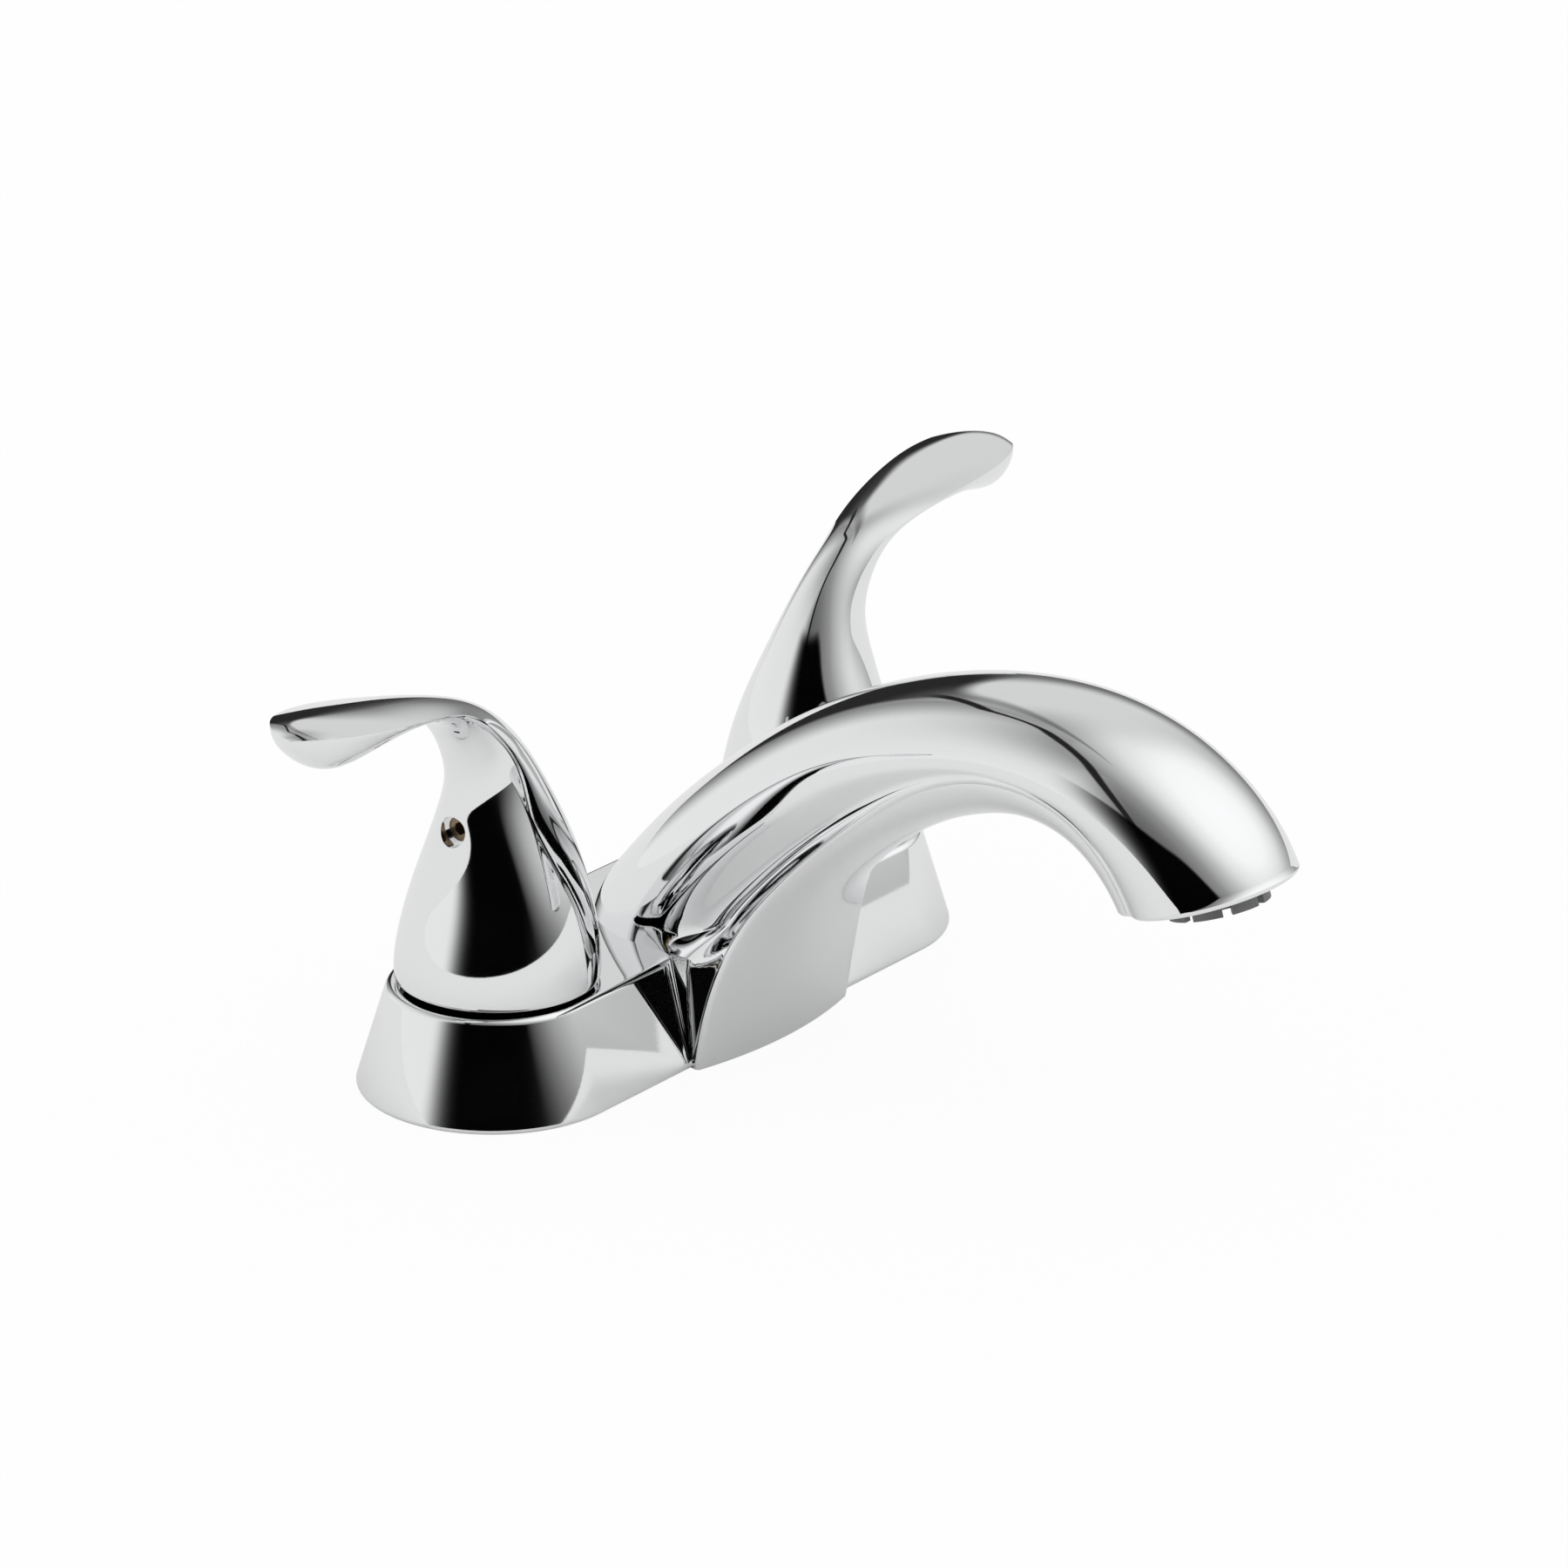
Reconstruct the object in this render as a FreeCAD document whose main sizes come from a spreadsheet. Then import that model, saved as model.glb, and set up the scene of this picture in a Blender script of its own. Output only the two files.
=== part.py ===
import FreeCAD, Part
import math
import os
import Sketcher
from FreeCAD import Placement, Rotation, Vector

# Centerset bathroom faucet, millimetres.
# X runs from the hot handle to the cold handle, -Y points at the user, +Z is up.
# The origin is on the deck, midway between the two handles.

doc = FreeCAD.newDocument("faucet")

# Driving dimensions
SIZES = {
    "handle_spacing": 101.6,
    "base_overhang": 28.4,
    "base_width": 54.2,
    "base_height": 21.1,
    "base_inset": 6.4,
    "base_wall": 3.0,
    "base_round": 1.4,
    "base_foot_round": 0.8,
    "valve_hole_radius": 11.3,
    "root_half_width": 20.8,
    "outlet_half_width": 19.0,
    "spout_reach": 146.3,
    "spout_rise": 88.1,
    "panel_edge": 1.3,
    "valley_foot": 24.4,
    "valley_top": 23.0,
    "valley_round": 2.0,
    "valley_depth": 4.0,
    "valley_floor": 1.5,
    "root_depth": 19.0,
    "root_back_half": 19.5,
    "flank_step": 0.25,
    "rim_start": 4.7,
    "rim_rise": 12.7,
    "waterway_radius": 5.2,
    "riser_forward": 5.0,
    "riser_radius": 6.4,
    "riser_wall": 1.2,
    "riser_foot": 13.7,
    "riser_socket": 7.0,
    "outlet_forward": 1.2,
    "aerator_radius": 9.9,
    "aerator_depth": 7.0,
    "aerator_show": 3.0,
    "aerator_wall": 1.6,
    "insert_depth": 1.0,
    "insert_floor": 1.4,
    "insert_height": 6.0,
    "insert_hole_radius": 0.8,
    "insert_hole_pitch": 2.6,
    "notch_width": 1.8,
    "notch_depth": 2.6,
    "washer_thick": 1.6,
    "washer_width": 3.6,
    "dome_gap": 0.9,
    "dome_radius": 20.0,
    "handle_wall": 2.6,
    "handle_cavity_height": 17.0,
    "handle_cavity_top": 14.2,
    "lever_reach": 61.0,
    "lever_rise": 66.8,
    "screw_height": 33.6,
    "screw_radius": 2.4,
    "screw_length": 7.0,
    "screw_pocket_radius": 3.0,
    "screw_pocket_floor": 11.2,
    "hex_radius": 1.4,
    "hex_depth": 2.4,
    "stem_radius": 4.5,
    "stem_flat": 3.9,
    "stem_flat_height": 11.0,
    "stem_reach": 30.0,
    "drum_radius": 7.9,
    "drum_floor": 6.5,
    "drum_base": 1.6,
    "drum_cavity_radius": 5.4,
    "drum_cavity_height": 12.4,
    "seal_groove_up": 16.4,
    "seal_section": 1.6,
    "valve_radius": 13.2,
    "valve_floor": 8.0,
    "neck_radius": 11.0,
    "neck_height": 9.0,
    "shank_radius": 10.35,
    "shank_length": 42.0,
    "inlet_radius": 6.5,
    "port_offset": 3.0,
    "port_radius": 3.3,
    "port_depth": 7.0,
    "port_ledge": 2.2,
    "port_window": 2.6,
    "seat_height": 3.5,
    "spring_wire": 0.4,
    "bonnet_radius": 14.6,
    "bonnet_lip": 2.2,
    "plate_thick": 2.5,
    "plate_gap": 0.3,
    "tube_height": 9.8,
    "tube_radius": 4.8,
    "tube_wall": 1.0,
    "tube_inset": 10.0,
    "tee_radius": 8.4,
    "tee_arm_radius": 6.4,
    "tee_arm_length": 30.0,
    "tee_grip": 6.0,
    "tee_foot": 4.6,
    "tee_height": 13.0,
    "nut_drop": 20.0,
    "nut_radius": 14.5,
    "nut_height": 9.0,
    "nut_flange_radius": 19.0,
    "nut_flange": 2.0,
    "wing_reach": 8.0,
    "wing_thick": 3.4,
    "running_gap": 0.05,
    "seat_gap": 0.1,
}

sheet = doc.addObject("Spreadsheet::Sheet", "dims")
for row, (name, value) in enumerate(SIZES.items(), start=1):
    sheet.set(f"A{row}", name)
    sheet.set(f"B{row}", str(value))
    sheet.setAlias(f"B{row}", name)
doc.recompute()


def size(name):
    """Read one driving dimension from the sheet."""
    return float(sheet.get(name))


def number(word):
    """A dimension's value, or a plain number."""
    return size(word) if word in SIZES else float(word)


def product(words):
    """Multiply and divide along a list such as ['2', '*', 'base_inset', '/', '3']."""
    result = number(words[0])
    for sign, word in zip(words[1::2], words[2::2]):
        result = result * number(word) if sign == "*" else result / number(word)
    return result


def value_of(text):
    """The present value of a sum such as 'stem_radius + running_gap'."""
    terms = text.replace(" - ", " + -1 * ").split(" + ")
    return sum(product(term.split()) for term in terms)


def formula(text):
    """The same sum as an expression on the sheet."""
    return " ".join(f"dims.{word}" if word in SIZES else word for word in text.split())


def bind(obj, **properties):
    """Bind named properties of an object to sums of dimensions."""
    for name, text in properties.items():
        obj.setExpression(name, formula(text))


def put(obj, along="0", across="0", up="0"):
    """Bind the place of an object."""
    obj.setExpression(".Placement.Base.x", formula(along))
    obj.setExpression(".Placement.Base.y", formula(across))
    obj.setExpression(".Placement.Base.z", formula(up))
    return obj


# Building blocks

def cylinder(name, radius, height, along="0", across="0", up="0"):
    """An upright cylinder."""
    obj = doc.addObject("Part::Cylinder", name)
    bind(obj, Radius=radius, Height=height)
    return put(obj, along, across, up)


def hexagon(name, radius, height):
    """A hexagonal prism standing on the origin."""
    prism = doc.addObject("Part::Prism", name)
    prism.Polygon = 6
    bind(prism, Circumradius=radius, Height=height)
    return prism


def lying_cylinder(name, radius, height, along, across, up, angle, axis):
    """A cylinder turned from upright about an axis."""
    obj = cylinder(name, radius, height)
    obj.Placement = Placement(Vector(0, 0, 0), Rotation(axis, angle))
    return put(obj, along, across, up)


def box(name, length, width, height, along="0", across="0", up="0"):
    """A box measured from its lowest corner."""
    obj = doc.addObject("Part::Box", name)
    bind(obj, Length=length, Width=width, Height=height)
    return put(obj, along, across, up)


def cut(name, base, *tools):
    """One solid less others."""
    for index, tool in enumerate(tools):
        obj = doc.addObject("Part::Cut", name if index == len(tools) - 1 else f"{name}_{index}")
        obj.Base = base
        obj.Tool = tool
        obj.Refine = False
        base = obj
    return base


def fuse(name, *shapes):
    """Several solids as one."""
    obj = doc.addObject("Part::MultiFuse", name)
    obj.Shapes = list(shapes)
    obj.Refine = False
    return obj


def origin_plane(body, role):
    """The body's own origin plane with this role."""
    return next(item for item in body.Origin.OriginFeatures if item.Role == role)


def new_sketch(body, name, role):
    """A sketch on one of the body's own origin planes."""
    sketch = body.newObject("Sketcher::SketchObject", name)
    sketch.AttachmentSupport = [(origin_plane(body, role), "")]
    sketch.MapMode = "FlatFace"
    return sketch


def pin(sketch, kind, index, text, axis):
    """Hold the start of a line at its distance from the sketch's axes."""
    if text == "0":
        sketch.addConstraint(Sketcher.Constraint("PointOnObject", index, 1, axis))
        return
    name = f"{kind}_{index}"
    sketch.addConstraint(Sketcher.Constraint(kind, -1, 1, index, 1, value_of(text)))
    sketch.renameConstraint(sketch.ConstraintCount - 1, name)
    sketch.setExpression(f"Constraints.{name}", formula(text))


def turned(name, corners, along="0", across="0", up="0"):
    """A turned piece: its half section is the closed outline through (radius, height)."""
    body = doc.addObject("PartDesign::Body", name)
    sketch = new_sketch(body, name + "_section", "XZ_Plane")
    here = [Vector(value_of(radius), value_of(height), 0) for radius, height in corners]
    count = len(corners)
    for index in range(count):
        sketch.addGeometry(Part.LineSegment(here[index], here[(index + 1) % count]), False)
    for index in range(count):
        sketch.addConstraint(Sketcher.Constraint("Coincident", index, 2, (index + 1) % count, 1))
    for index, (radius, height) in enumerate(corners):
        pin(sketch, "DistanceX", index, radius, -2)
        pin(sketch, "DistanceY", index, height, -1)
    turn = body.newObject("PartDesign::Revolution", name + "_turned")
    turn.Profile = sketch
    turn.ReferenceAxis = (sketch, ["V_Axis"])
    turn.Angle = 360
    return put(body, along, across, up)


def ring(name, inner, outer, height, along="0", across="0", up="0"):
    """A flat ring or a plain sleeve."""
    corners = [(inner, "0"), (outer, "0"), (outer, height), (inner, height)]
    return turned(name, corners, along, across, up)


def stadium(name, spacing, radius, height, taper, up="0"):
    """A round-ended block whose wall leans in, and its body."""
    body = doc.addObject("PartDesign::Body", name)
    sketch = new_sketch(body, name + "_outline", "XY_Plane")
    half, end = value_of(spacing) / 2, value_of(radius)
    left, right = Vector(-half, 0, 0), Vector(half, 0, 0)
    up_y = Vector(0, 0, 1)
    sketch.addGeometry(Part.LineSegment(Vector(-half, -end, 0), Vector(half, -end, 0)), False)
    sketch.addGeometry(Part.ArcOfCircle(Part.Circle(right, up_y, end), -math.pi / 2, math.pi / 2), False)
    sketch.addGeometry(Part.LineSegment(Vector(half, end, 0), Vector(-half, end, 0)), False)
    sketch.addGeometry(Part.ArcOfCircle(Part.Circle(left, up_y, end), math.pi / 2, 3 * math.pi / 2), False)
    for first, first_end, second, second_end in ((0, 2, 1, 1), (1, 2, 2, 1), (2, 2, 3, 1), (3, 2, 0, 1)):
        sketch.addConstraint(Sketcher.Constraint("Tangent", first, first_end, second, second_end))
    sketch.addConstraint(Sketcher.Constraint("Horizontal", 0))
    sketch.addConstraint(Sketcher.Constraint("Symmetric", 1, 3, 3, 3, -1, 1))
    bind_constraint(sketch, Sketcher.Constraint("Radius", 1, end), "end", radius)
    bind_constraint(sketch, Sketcher.Constraint("DistanceX", 3, 3, 1, 3, 2 * half), "spacing", spacing)
    pad = body.newObject("PartDesign::Pad", name + "_pad")
    pad.Profile = sketch
    bind(pad, Length=height)
    pad.setExpression("TaperAngle", taper)
    put(body, up=up)
    return body, pad


def bind_constraint(sketch, constraint, name, text):
    """Add a sized constraint and bind it."""
    sketch.addConstraint(constraint)
    sketch.renameConstraint(sketch.ConstraintCount - 1, name)
    sketch.setExpression(f"Constraints.{name}", formula(text))


def rounded(body, name, base, radius, chosen):
    """Round the edges of a body that a test picks."""
    doc.recompute()
    names = [f"Edge{index}" for index, edge in enumerate(base.Shape.Edges, start=1) if chosen(edge)]
    fillet = body.newObject("PartDesign::Fillet", name)
    fillet.Base = (base, names)
    bind(fillet, Radius=radius)
    return fillet


def solid(name, shape, placement=None):
    """A piece whose form comes from Part's own functions."""
    obj = doc.addObject("Part::Feature", name)
    obj.Shape = shape
    if placement is not None:
        obj.Placement = placement
    return obj


# Smooth skins through stations

def bezier(start, first, second, end, share):
    """A point of a cubic curve."""
    rest = 1.0 - share
    return (start * rest ** 3 + first * (3 * rest * rest * share)
            + second * (3 * rest * share * share) + end * share ** 3)


def smooth(points):
    """A smooth curve through points, with knots that don't depend on their spacing."""
    curve = Part.BSplineCurve()
    last = len(points) - 1
    curve.interpolate(Points=points, Parameters=[index / last for index in range(last + 1)])
    return curve


def smooth_face(rows):
    """The smooth face through one row of points per station."""
    across = [smooth(row) for row in rows]
    poles = [curve.getPoles() for curve in across]
    along = [smooth([row[index] for row in poles]) for index in range(len(poles[0]))]
    surface = Part.BSplineSurface()
    surface.buildFromPolesMultsKnots(
        [curve.getPoles() for curve in along],
        across[0].getMultiplicities(), along[0].getMultiplicities(),
        across[0].getKnots(), along[0].getKnots(),
        False, False, across[0].Degree, along[0].Degree)
    return surface.toShape()


def skin(strips):
    """A closed solid: strips side by side round every station, and a flat face at each end."""
    faces = [smooth_face(rows) for rows in strips]
    for end in (0, -1):
        edges = [smooth(rows[end]).toShape() for rows in strips]
        faces.append(Part.Face(Part.Wire(Part.__sortEdges__(edges))))
    shell = Part.makeShell(faces)
    shell.sewShape(1e-4)
    closed = Part.makeSolid(shell)
    if closed.Volume < 0:
        closed.reverse()
    return closed


def mirrored(shape):
    """The same shape on the other side of the spout."""
    return shape.mirror(Vector(0, 0, 0), Vector(1, 0, 0))


# The spout's stations, foot to outlet, drawn for a reach of 146.3 and a rise of 88.1:
# crown (y, z), front panel (y, z), panel half width, panel depth,
# how far the section has turned from upright neck to level arm,
# where along the section the crease lies, and how deep the scoop below it is.
SPOUT = [
    ((12.5, -2.0), (-31.3, -2.0), 23.5, 3.1, 0.00, 0.62, 3.9),
    ((12.5, 10.2), (-33.0, 10.1), 23.6, 2.8, 0.00, 0.59, 4.1),
    ((10.9, 23.2), (-36.0, 20.8), 22.5, 3.0, 0.08, 0.54, 4.2),
    ((3.4, 34.4), (-41.3, 30.2), 20.5, 4.2, 0.25, 0.50, 4.1),
    ((-5.8, 44.7), (-48.1, 38.2), 19.3, 5.0, 0.42, 0.50, 3.9),
    ((-16.3, 54.6), (-55.4, 45.0), 18.8, 5.7, 0.56, 0.50, 3.5),
    ((-28.0, 64.1), (-62.7, 50.8), 18.7, 6.2, 0.66, 0.50, 2.9),
    ((-41.1, 72.8), (-69.9, 55.5), 18.8, 7.0, 0.74, 0.48, 2.2),
    ((-55.6, 80.0), (-77.1, 59.2), 19.0, 8.2, 0.83, 0.48, 1.5),
    ((-71.3, 85.2), (-84.4, 61.9), 19.1, 9.4, 0.91, 0.48, 0.8),
    ((-87.9, 88.0), (-91.9, 63.7), 19.1, 10.1, 0.97, 0.51, 0.3),
    ((-104.8, 87.5), (-99.2, 64.0), 18.7, 10.0, 1.00, 0.56, 0.0),
    ((-121.4, 82.9), (-105.9, 62.2), 17.7, 9.2, 1.00, 0.60, 0.0),
    ((-136.3, 73.8), (-111.5, 57.9), 16.1, 7.9, 1.00, 0.63, 0.0),
    ((-146.3, 60.9), (-116.0, 51.4), 14.5, 6.5, 1.00, 0.66, 0.0),
]
WIDEST = 0.52
FULLNESS = 0.56

# The handle's stations, skirt to finger tip, drawn for a reach of 61 and a rise of 66.8:
# way out, way up, section tilt in degrees, half width,
# height of the blade side and depth of the under side.
HANDLE = [
    (0.0, 0.0, 90.0, 20.0, 20.0, 20.0),
    (-0.2, 8.0, 90.0, 19.6, 19.6, 19.6),
    (-0.8, 18.0, 90.0, 17.4, 17.4, 17.4),
    (-1.4, 28.0, 88.0, 13.8, 13.8, 15.9),
    (-0.5, 37.9, 79.0, 9.8, 9.6, 14.1),
    (2.3, 47.0, 63.0, 7.0, 6.2, 11.5),
    (8.0, 54.4, 43.0, 6.2, 3.9, 8.2),
    (15.5, 59.5, 25.0, 6.9, 2.3, 4.4),
    (24.8, 62.4, 13.0, 8.6, 1.8, 2.0),
    (34.7, 63.9, 9.0, 10.1, 1.8, 2.6),
    (43.6, 65.3, 7.5, 10.7, 2.2, 5.6),
    (50.7, 66.0, 6.0, 9.9, 2.6, 7.8),
    (55.8, 66.5, 5.0, 7.9, 2.6, 6.0),
    (59.2, 66.7, 4.0, 4.6, 1.4, 3.2),
    (61.0, 66.8, 4.0, 1.2, 0.3, 0.9),
]


# Spout and base, one casting

def spout_frame(index):
    """Crown point, panel point, unit vector between them and thickness at a station."""
    reach = size("spout_reach") / 146.3
    rise = size("spout_rise") / 88.1
    (crown_y, crown_z), (panel_y, panel_z) = SPOUT[index][:2]
    crown = Vector(0, crown_y * reach, crown_z * rise)
    panel = Vector(0, panel_y * reach, panel_z * rise)
    thick = (crown - panel).Length
    return crown, panel, (crown - panel) / thick, thick


def spout_half(index):
    """Half a section as (half width, height) points: crown, flank, lip and panel."""
    panel_half, panel_depth, turned_by, crease, scoop = SPOUT[index][2:]
    thick = spout_frame(index)[3]
    panel_half *= size("root_half_width") / 20.8
    panel_depth *= size("spout_rise") / 88.1
    scoop *= size("root_half_width") / 20.8
    along = index / (len(SPOUT) - 1)
    half = size("root_half_width") * (1 - along) + size("outlet_half_width") * along
    tall = WIDEST * thick
    top = Vector(0, thick, 0)
    side = Vector(half, tall, 0)
    edge = Vector(panel_half, panel_depth, 0)
    bead = size("panel_edge")
    lip = edge + Vector(0.27 * bead, bead, 0)
    lean = math.radians(67 * turned_by - 12)
    drop = (side - lip).Length

    def outer(share):
        if share <= 0.5:
            return bezier(top, Vector(FULLNESS * half, thick, 0),
                          Vector(half, tall + FULLNESS * (thick - tall), 0), side, 2 * share)
        return bezier(side, Vector(half, tall - 0.4 * drop, 0),
                      lip + Vector(math.sin(lean), math.cos(lean), 0) * (0.36 * drop),
                      lip, 2 * share - 1)

    steps = [step / 4 for step in range(5)]
    crown = [outer(step * crease) for step in steps]
    flank = []
    for step in steps:
        hollow = scoop * 4 * step * (1 - step)
        flank.append(outer(crease + (1 - crease) * step) - Vector(hollow, 0, 0))
    round_lip = [bezier(lip, lip + Vector(0.2, -0.3, 0) * bead, edge + Vector(0.27, 0.23, 0) * bead,
                        edge, share) for share in (0, 0.5, 1)]
    outward = Vector(panel_half * (2 + turned_by) / 3, panel_depth * (1 + 0.35 * turned_by) / 3, 0)
    inward = Vector(panel_half * (1 + 0.65 * turned_by) / 3, 0, 0)
    belly = [bezier(edge, outward, inward, Vector(0, 0, 0), step) for step in steps]
    return crown, flank, round_lip, belly


def spout_rows(index):
    """The six strips of one station, in order round the section."""
    panel, across = spout_frame(index)[1:3]

    def place(points, side):
        return [panel + across * point.y + Vector(side * point.x, 0, 0) for point in points]

    crown, flank, lip, belly = spout_half(index)
    return [
        place(crown[::-1], -1) + place(crown[1:], 1),
        place(flank, 1),
        place(lip, 1),
        place(belly, 1) + place(belly[-2::-1], -1),
        place(lip[::-1], -1),
        place(flank[::-1], -1),
    ]


def spout_skin():
    """The spout from below the deck face to the outlet, still solid."""
    stations = [spout_rows(index) for index in range(len(SPOUT))]
    return skin([[rows[strip] for rows in stations] for strip in range(6)])


def outlet_frame():
    """Middle of the outlet and the direction in which the water leaves."""
    crown, panel, across, thick = spout_frame(-1)
    return (crown + panel) / 2 + across * size("outlet_forward"), Vector(0, -across.z, across.y)


def valley_tool(side):
    """The groove in the base's front wall beside the root of the spout."""
    turn = size("valley_round")
    bend = turn * (1 - math.sqrt(0.5))
    wires = []
    for height in (size("valley_floor"), size("base_height") + 2.0):
        share = height / size("base_height")
        corner = size("valley_foot") - (size("valley_foot") - size("valley_top")) * share
        face = size("base_inset") * share - size("base_width") / 2
        outside = face - 2.5 * turn
        inside = face + size("valley_depth")
        middle = corner - 2.8 * turn
        points = [(corner + turn, outside), (corner + turn, face), (corner, face + turn),
                  (corner, inside), (middle, inside), (middle, outside)]
        points = [Vector(x, y, height) for x, y in points]
        halfway = Vector(corner + bend, face + bend, height)
        edges = [Part.LineSegment(points[0], points[1]).toShape(),
                 Part.Arc(points[1], halfway, points[2]).toShape()]
        for start in (2, 3, 4, 5):
            edges.append(Part.LineSegment(points[start], points[(start + 1) % 6]).toShape())
        wires.append(Part.Wire(edges))
    tool = Part.makeLoft(wires, True, True)
    return tool if side > 0 else mirrored(tool)


def root_block():
    """What carries the front of the spout: flat flanks from the deck up to the rim of each scoop."""
    wires = []
    for index in range(6):
        panel, across = spout_frame(index)[1:3]
        lip = spout_half(index)[2][0]
        front = panel + across * lip.y
        back = front + across * size("root_depth")
        corners = [front + Vector(lip.x - size("flank_step"), 0, 0),
                   front - Vector(lip.x - size("flank_step"), 0, 0),
                   back - Vector(size("root_back_half"), 0, 0),
                   back + Vector(size("root_back_half"), 0, 0)]
        wires.append(Part.makePolygon(corners + corners[:1]))
    flanks = Part.makeLoft(wires, True, True)
    top = size("base_height")
    edge = size("base_inset") - size("base_width") / 2
    ends = [(edge + size("root_depth"), top), (edge - size("rim_start"), top),
            (edge - size("rim_start") - top, top + size("rim_rise")),
            (edge - size("rim_start") - top, -top), (edge + size("root_depth"), -top)]
    corners = [Vector(-size("base_width"), y, z) for y, z in ends]
    side = Part.Face(Part.makePolygon(corners + corners[:1]))
    return flanks.common(side.extrude(Vector(2 * size("base_width"), 0, 0)))


def front_web(name, gap="0"):
    """The space behind the spout's front that the casting fills, deep enough for both grooves."""
    return box(name, f"2 * valley_foot + 2 * valley_round + 2 * base_wall + 2 * {gap}",
               f"base_inset + valley_depth + 2 * base_wall + {gap}", "2 * base_height",
               f"0 - valley_foot - valley_round - base_wall - {gap}",
               "0 - base_width / 2 - base_wall", "0 - base_height")


def base_and_spout():
    """The drafted base and the spout as one casting, with the passages that are cast in it."""
    taper = "-atan(dims.base_inset / dims.base_height)"
    spacing = "handle_spacing + 2 * base_overhang - base_width"
    base, pad = stadium("base_block", spacing, "base_width / 2", "base_height", taper)
    top = rounded(base, "base_top_round", pad, "base_round",
                  lambda edge: edge.BoundBox.ZMin > size("base_height") - 0.01)
    rounded(base, "base_bottom_round", top, "base_foot_round",
            lambda edge: edge.BoundBox.ZMax < 0.01)
    cavity, cavity_pad = stadium("base_cavity", spacing,
                                 "base_width / 2 - base_wall + 2 * base_inset / base_height",
                                 "base_height - base_wall + 2", taper, "-2")
    valleys = [solid("valley_hot", valley_tool(-1)), solid("valley_cold", valley_tool(1))]
    carved = cut("carved_base", base, *valleys)
    below = box("below_deck", "3 * base_width", "3 * base_width", "base_height",
                "0 - 1.5 * base_width", "0 - 1.5 * base_width", "0 - base_height")
    arm = fuse("arm_with_root", solid("spout_skin", spout_skin()), solid("root_block", root_block()))
    arm = cut("spout_above_deck", arm, below)
    tee_room = cylinder("tee_room", "tee_radius + plate_gap",
                        "base_height + tee_foot + tee_height + plate_gap",
                        "0", "0 - riser_forward", "0 - base_height")
    hollow = fuse("base_hollow", cut("cavity_behind_web", cavity, front_web("casting_web")), tee_room)
    return cut("hollow_casting", fuse("base_with_spout", carved, arm), hollow)


def rounded_route(points):
    """Straight runs joined by tangent arcs as large as the runs allow."""
    edges = []
    start = points[0]
    for before, here, after in zip(points, points[1:], points[2:]):
        into = (before - here).normalize()
        out = (after - here).normalize()
        reach = 0.45 * min((before - here).Length, (after - here).Length)
        half_turn = into.getAngle(out) / 2
        depth = reach / math.cos(half_turn) - reach * math.tan(half_turn)
        first = here + into * reach
        last = here + out * reach
        edges.append(Part.LineSegment(start, first).toShape())
        edges.append(Part.Arc(first, here + (into + out).normalize() * depth, last).toShape())
        start = last
    edges.append(Part.LineSegment(start, points[-1]).toShape())
    return Part.Wire(edges)


def waterway():
    """The passage from the riser's socket to the outlet."""
    middles = []
    for index in (5, 9, 12):
        crown, panel = spout_frame(index)[:2]
        middles.append((crown + panel) / 2)
    outlet, away = outlet_frame()
    start = Vector(0, -size("riser_forward"), size("base_height"))
    route = rounded_route([start] + middles + [outlet - away * 2])
    circle = Part.Circle(start, Vector(0, 0, 1), size("waterway_radius"))
    return route.makePipeShell([Part.Wire(circle.toShape())], True, False, 2)


def fixed(obj, placement):
    """Give an object a place and turn of its own instead of a bound one."""
    for axis in "xyz":
        obj.setExpression(f".Placement.Base.{axis}", None)
    obj.Placement = placement
    return obj


def outlet_place(depth):
    """Where a piece that is turned about the outlet's axis goes, a depth inside the outlet."""
    outlet, away = outlet_frame()
    return Placement(outlet - away * depth, Rotation(Vector(0, 0, 1), away * -1))


def casting():
    """The finished casting, with the valve holes, the riser's socket and the outlet bored."""
    tools = []
    for side, name in SIDES:
        tools.append(cylinder(f"{name}_valve_hole", "valve_hole_radius", "base_height + 10",
                              f"{side} * handle_spacing / 2"))
    tools.append(cylinder("riser_hole", "riser_radius + running_gap", "base_height + riser_socket",
                          across="0 - riser_forward"))
    pocket = cylinder("aerator_pocket", "aerator_radius + running_gap",
                      "aerator_depth + washer_thick + 10")
    tools.append(fixed(pocket, outlet_place(-10)))
    tools.append(solid("waterway", waterway()))
    return cut("spout_body", base_and_spout(), *tools)


# Deck plate

def deck_plate():
    """The moulded plate that closes the base and lies on the deck."""
    plate, pad = stadium("plate_blank", "handle_spacing + 2 * base_overhang - base_width",
                         "base_width / 2 - base_wall - plate_gap - base_inset * plate_thick / base_height",
                         "plate_thick", "0")
    holes = [cylinder(f"{name}_plate_hole", "shank_radius + plate_gap", "plate_thick + 1",
                      f"{side} * handle_spacing / 2") for side, name in SIDES]
    return cut("deck_plate", plate, front_web("plate_notch", "plate_gap"), *holes)


# Valves, one under each handle

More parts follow.
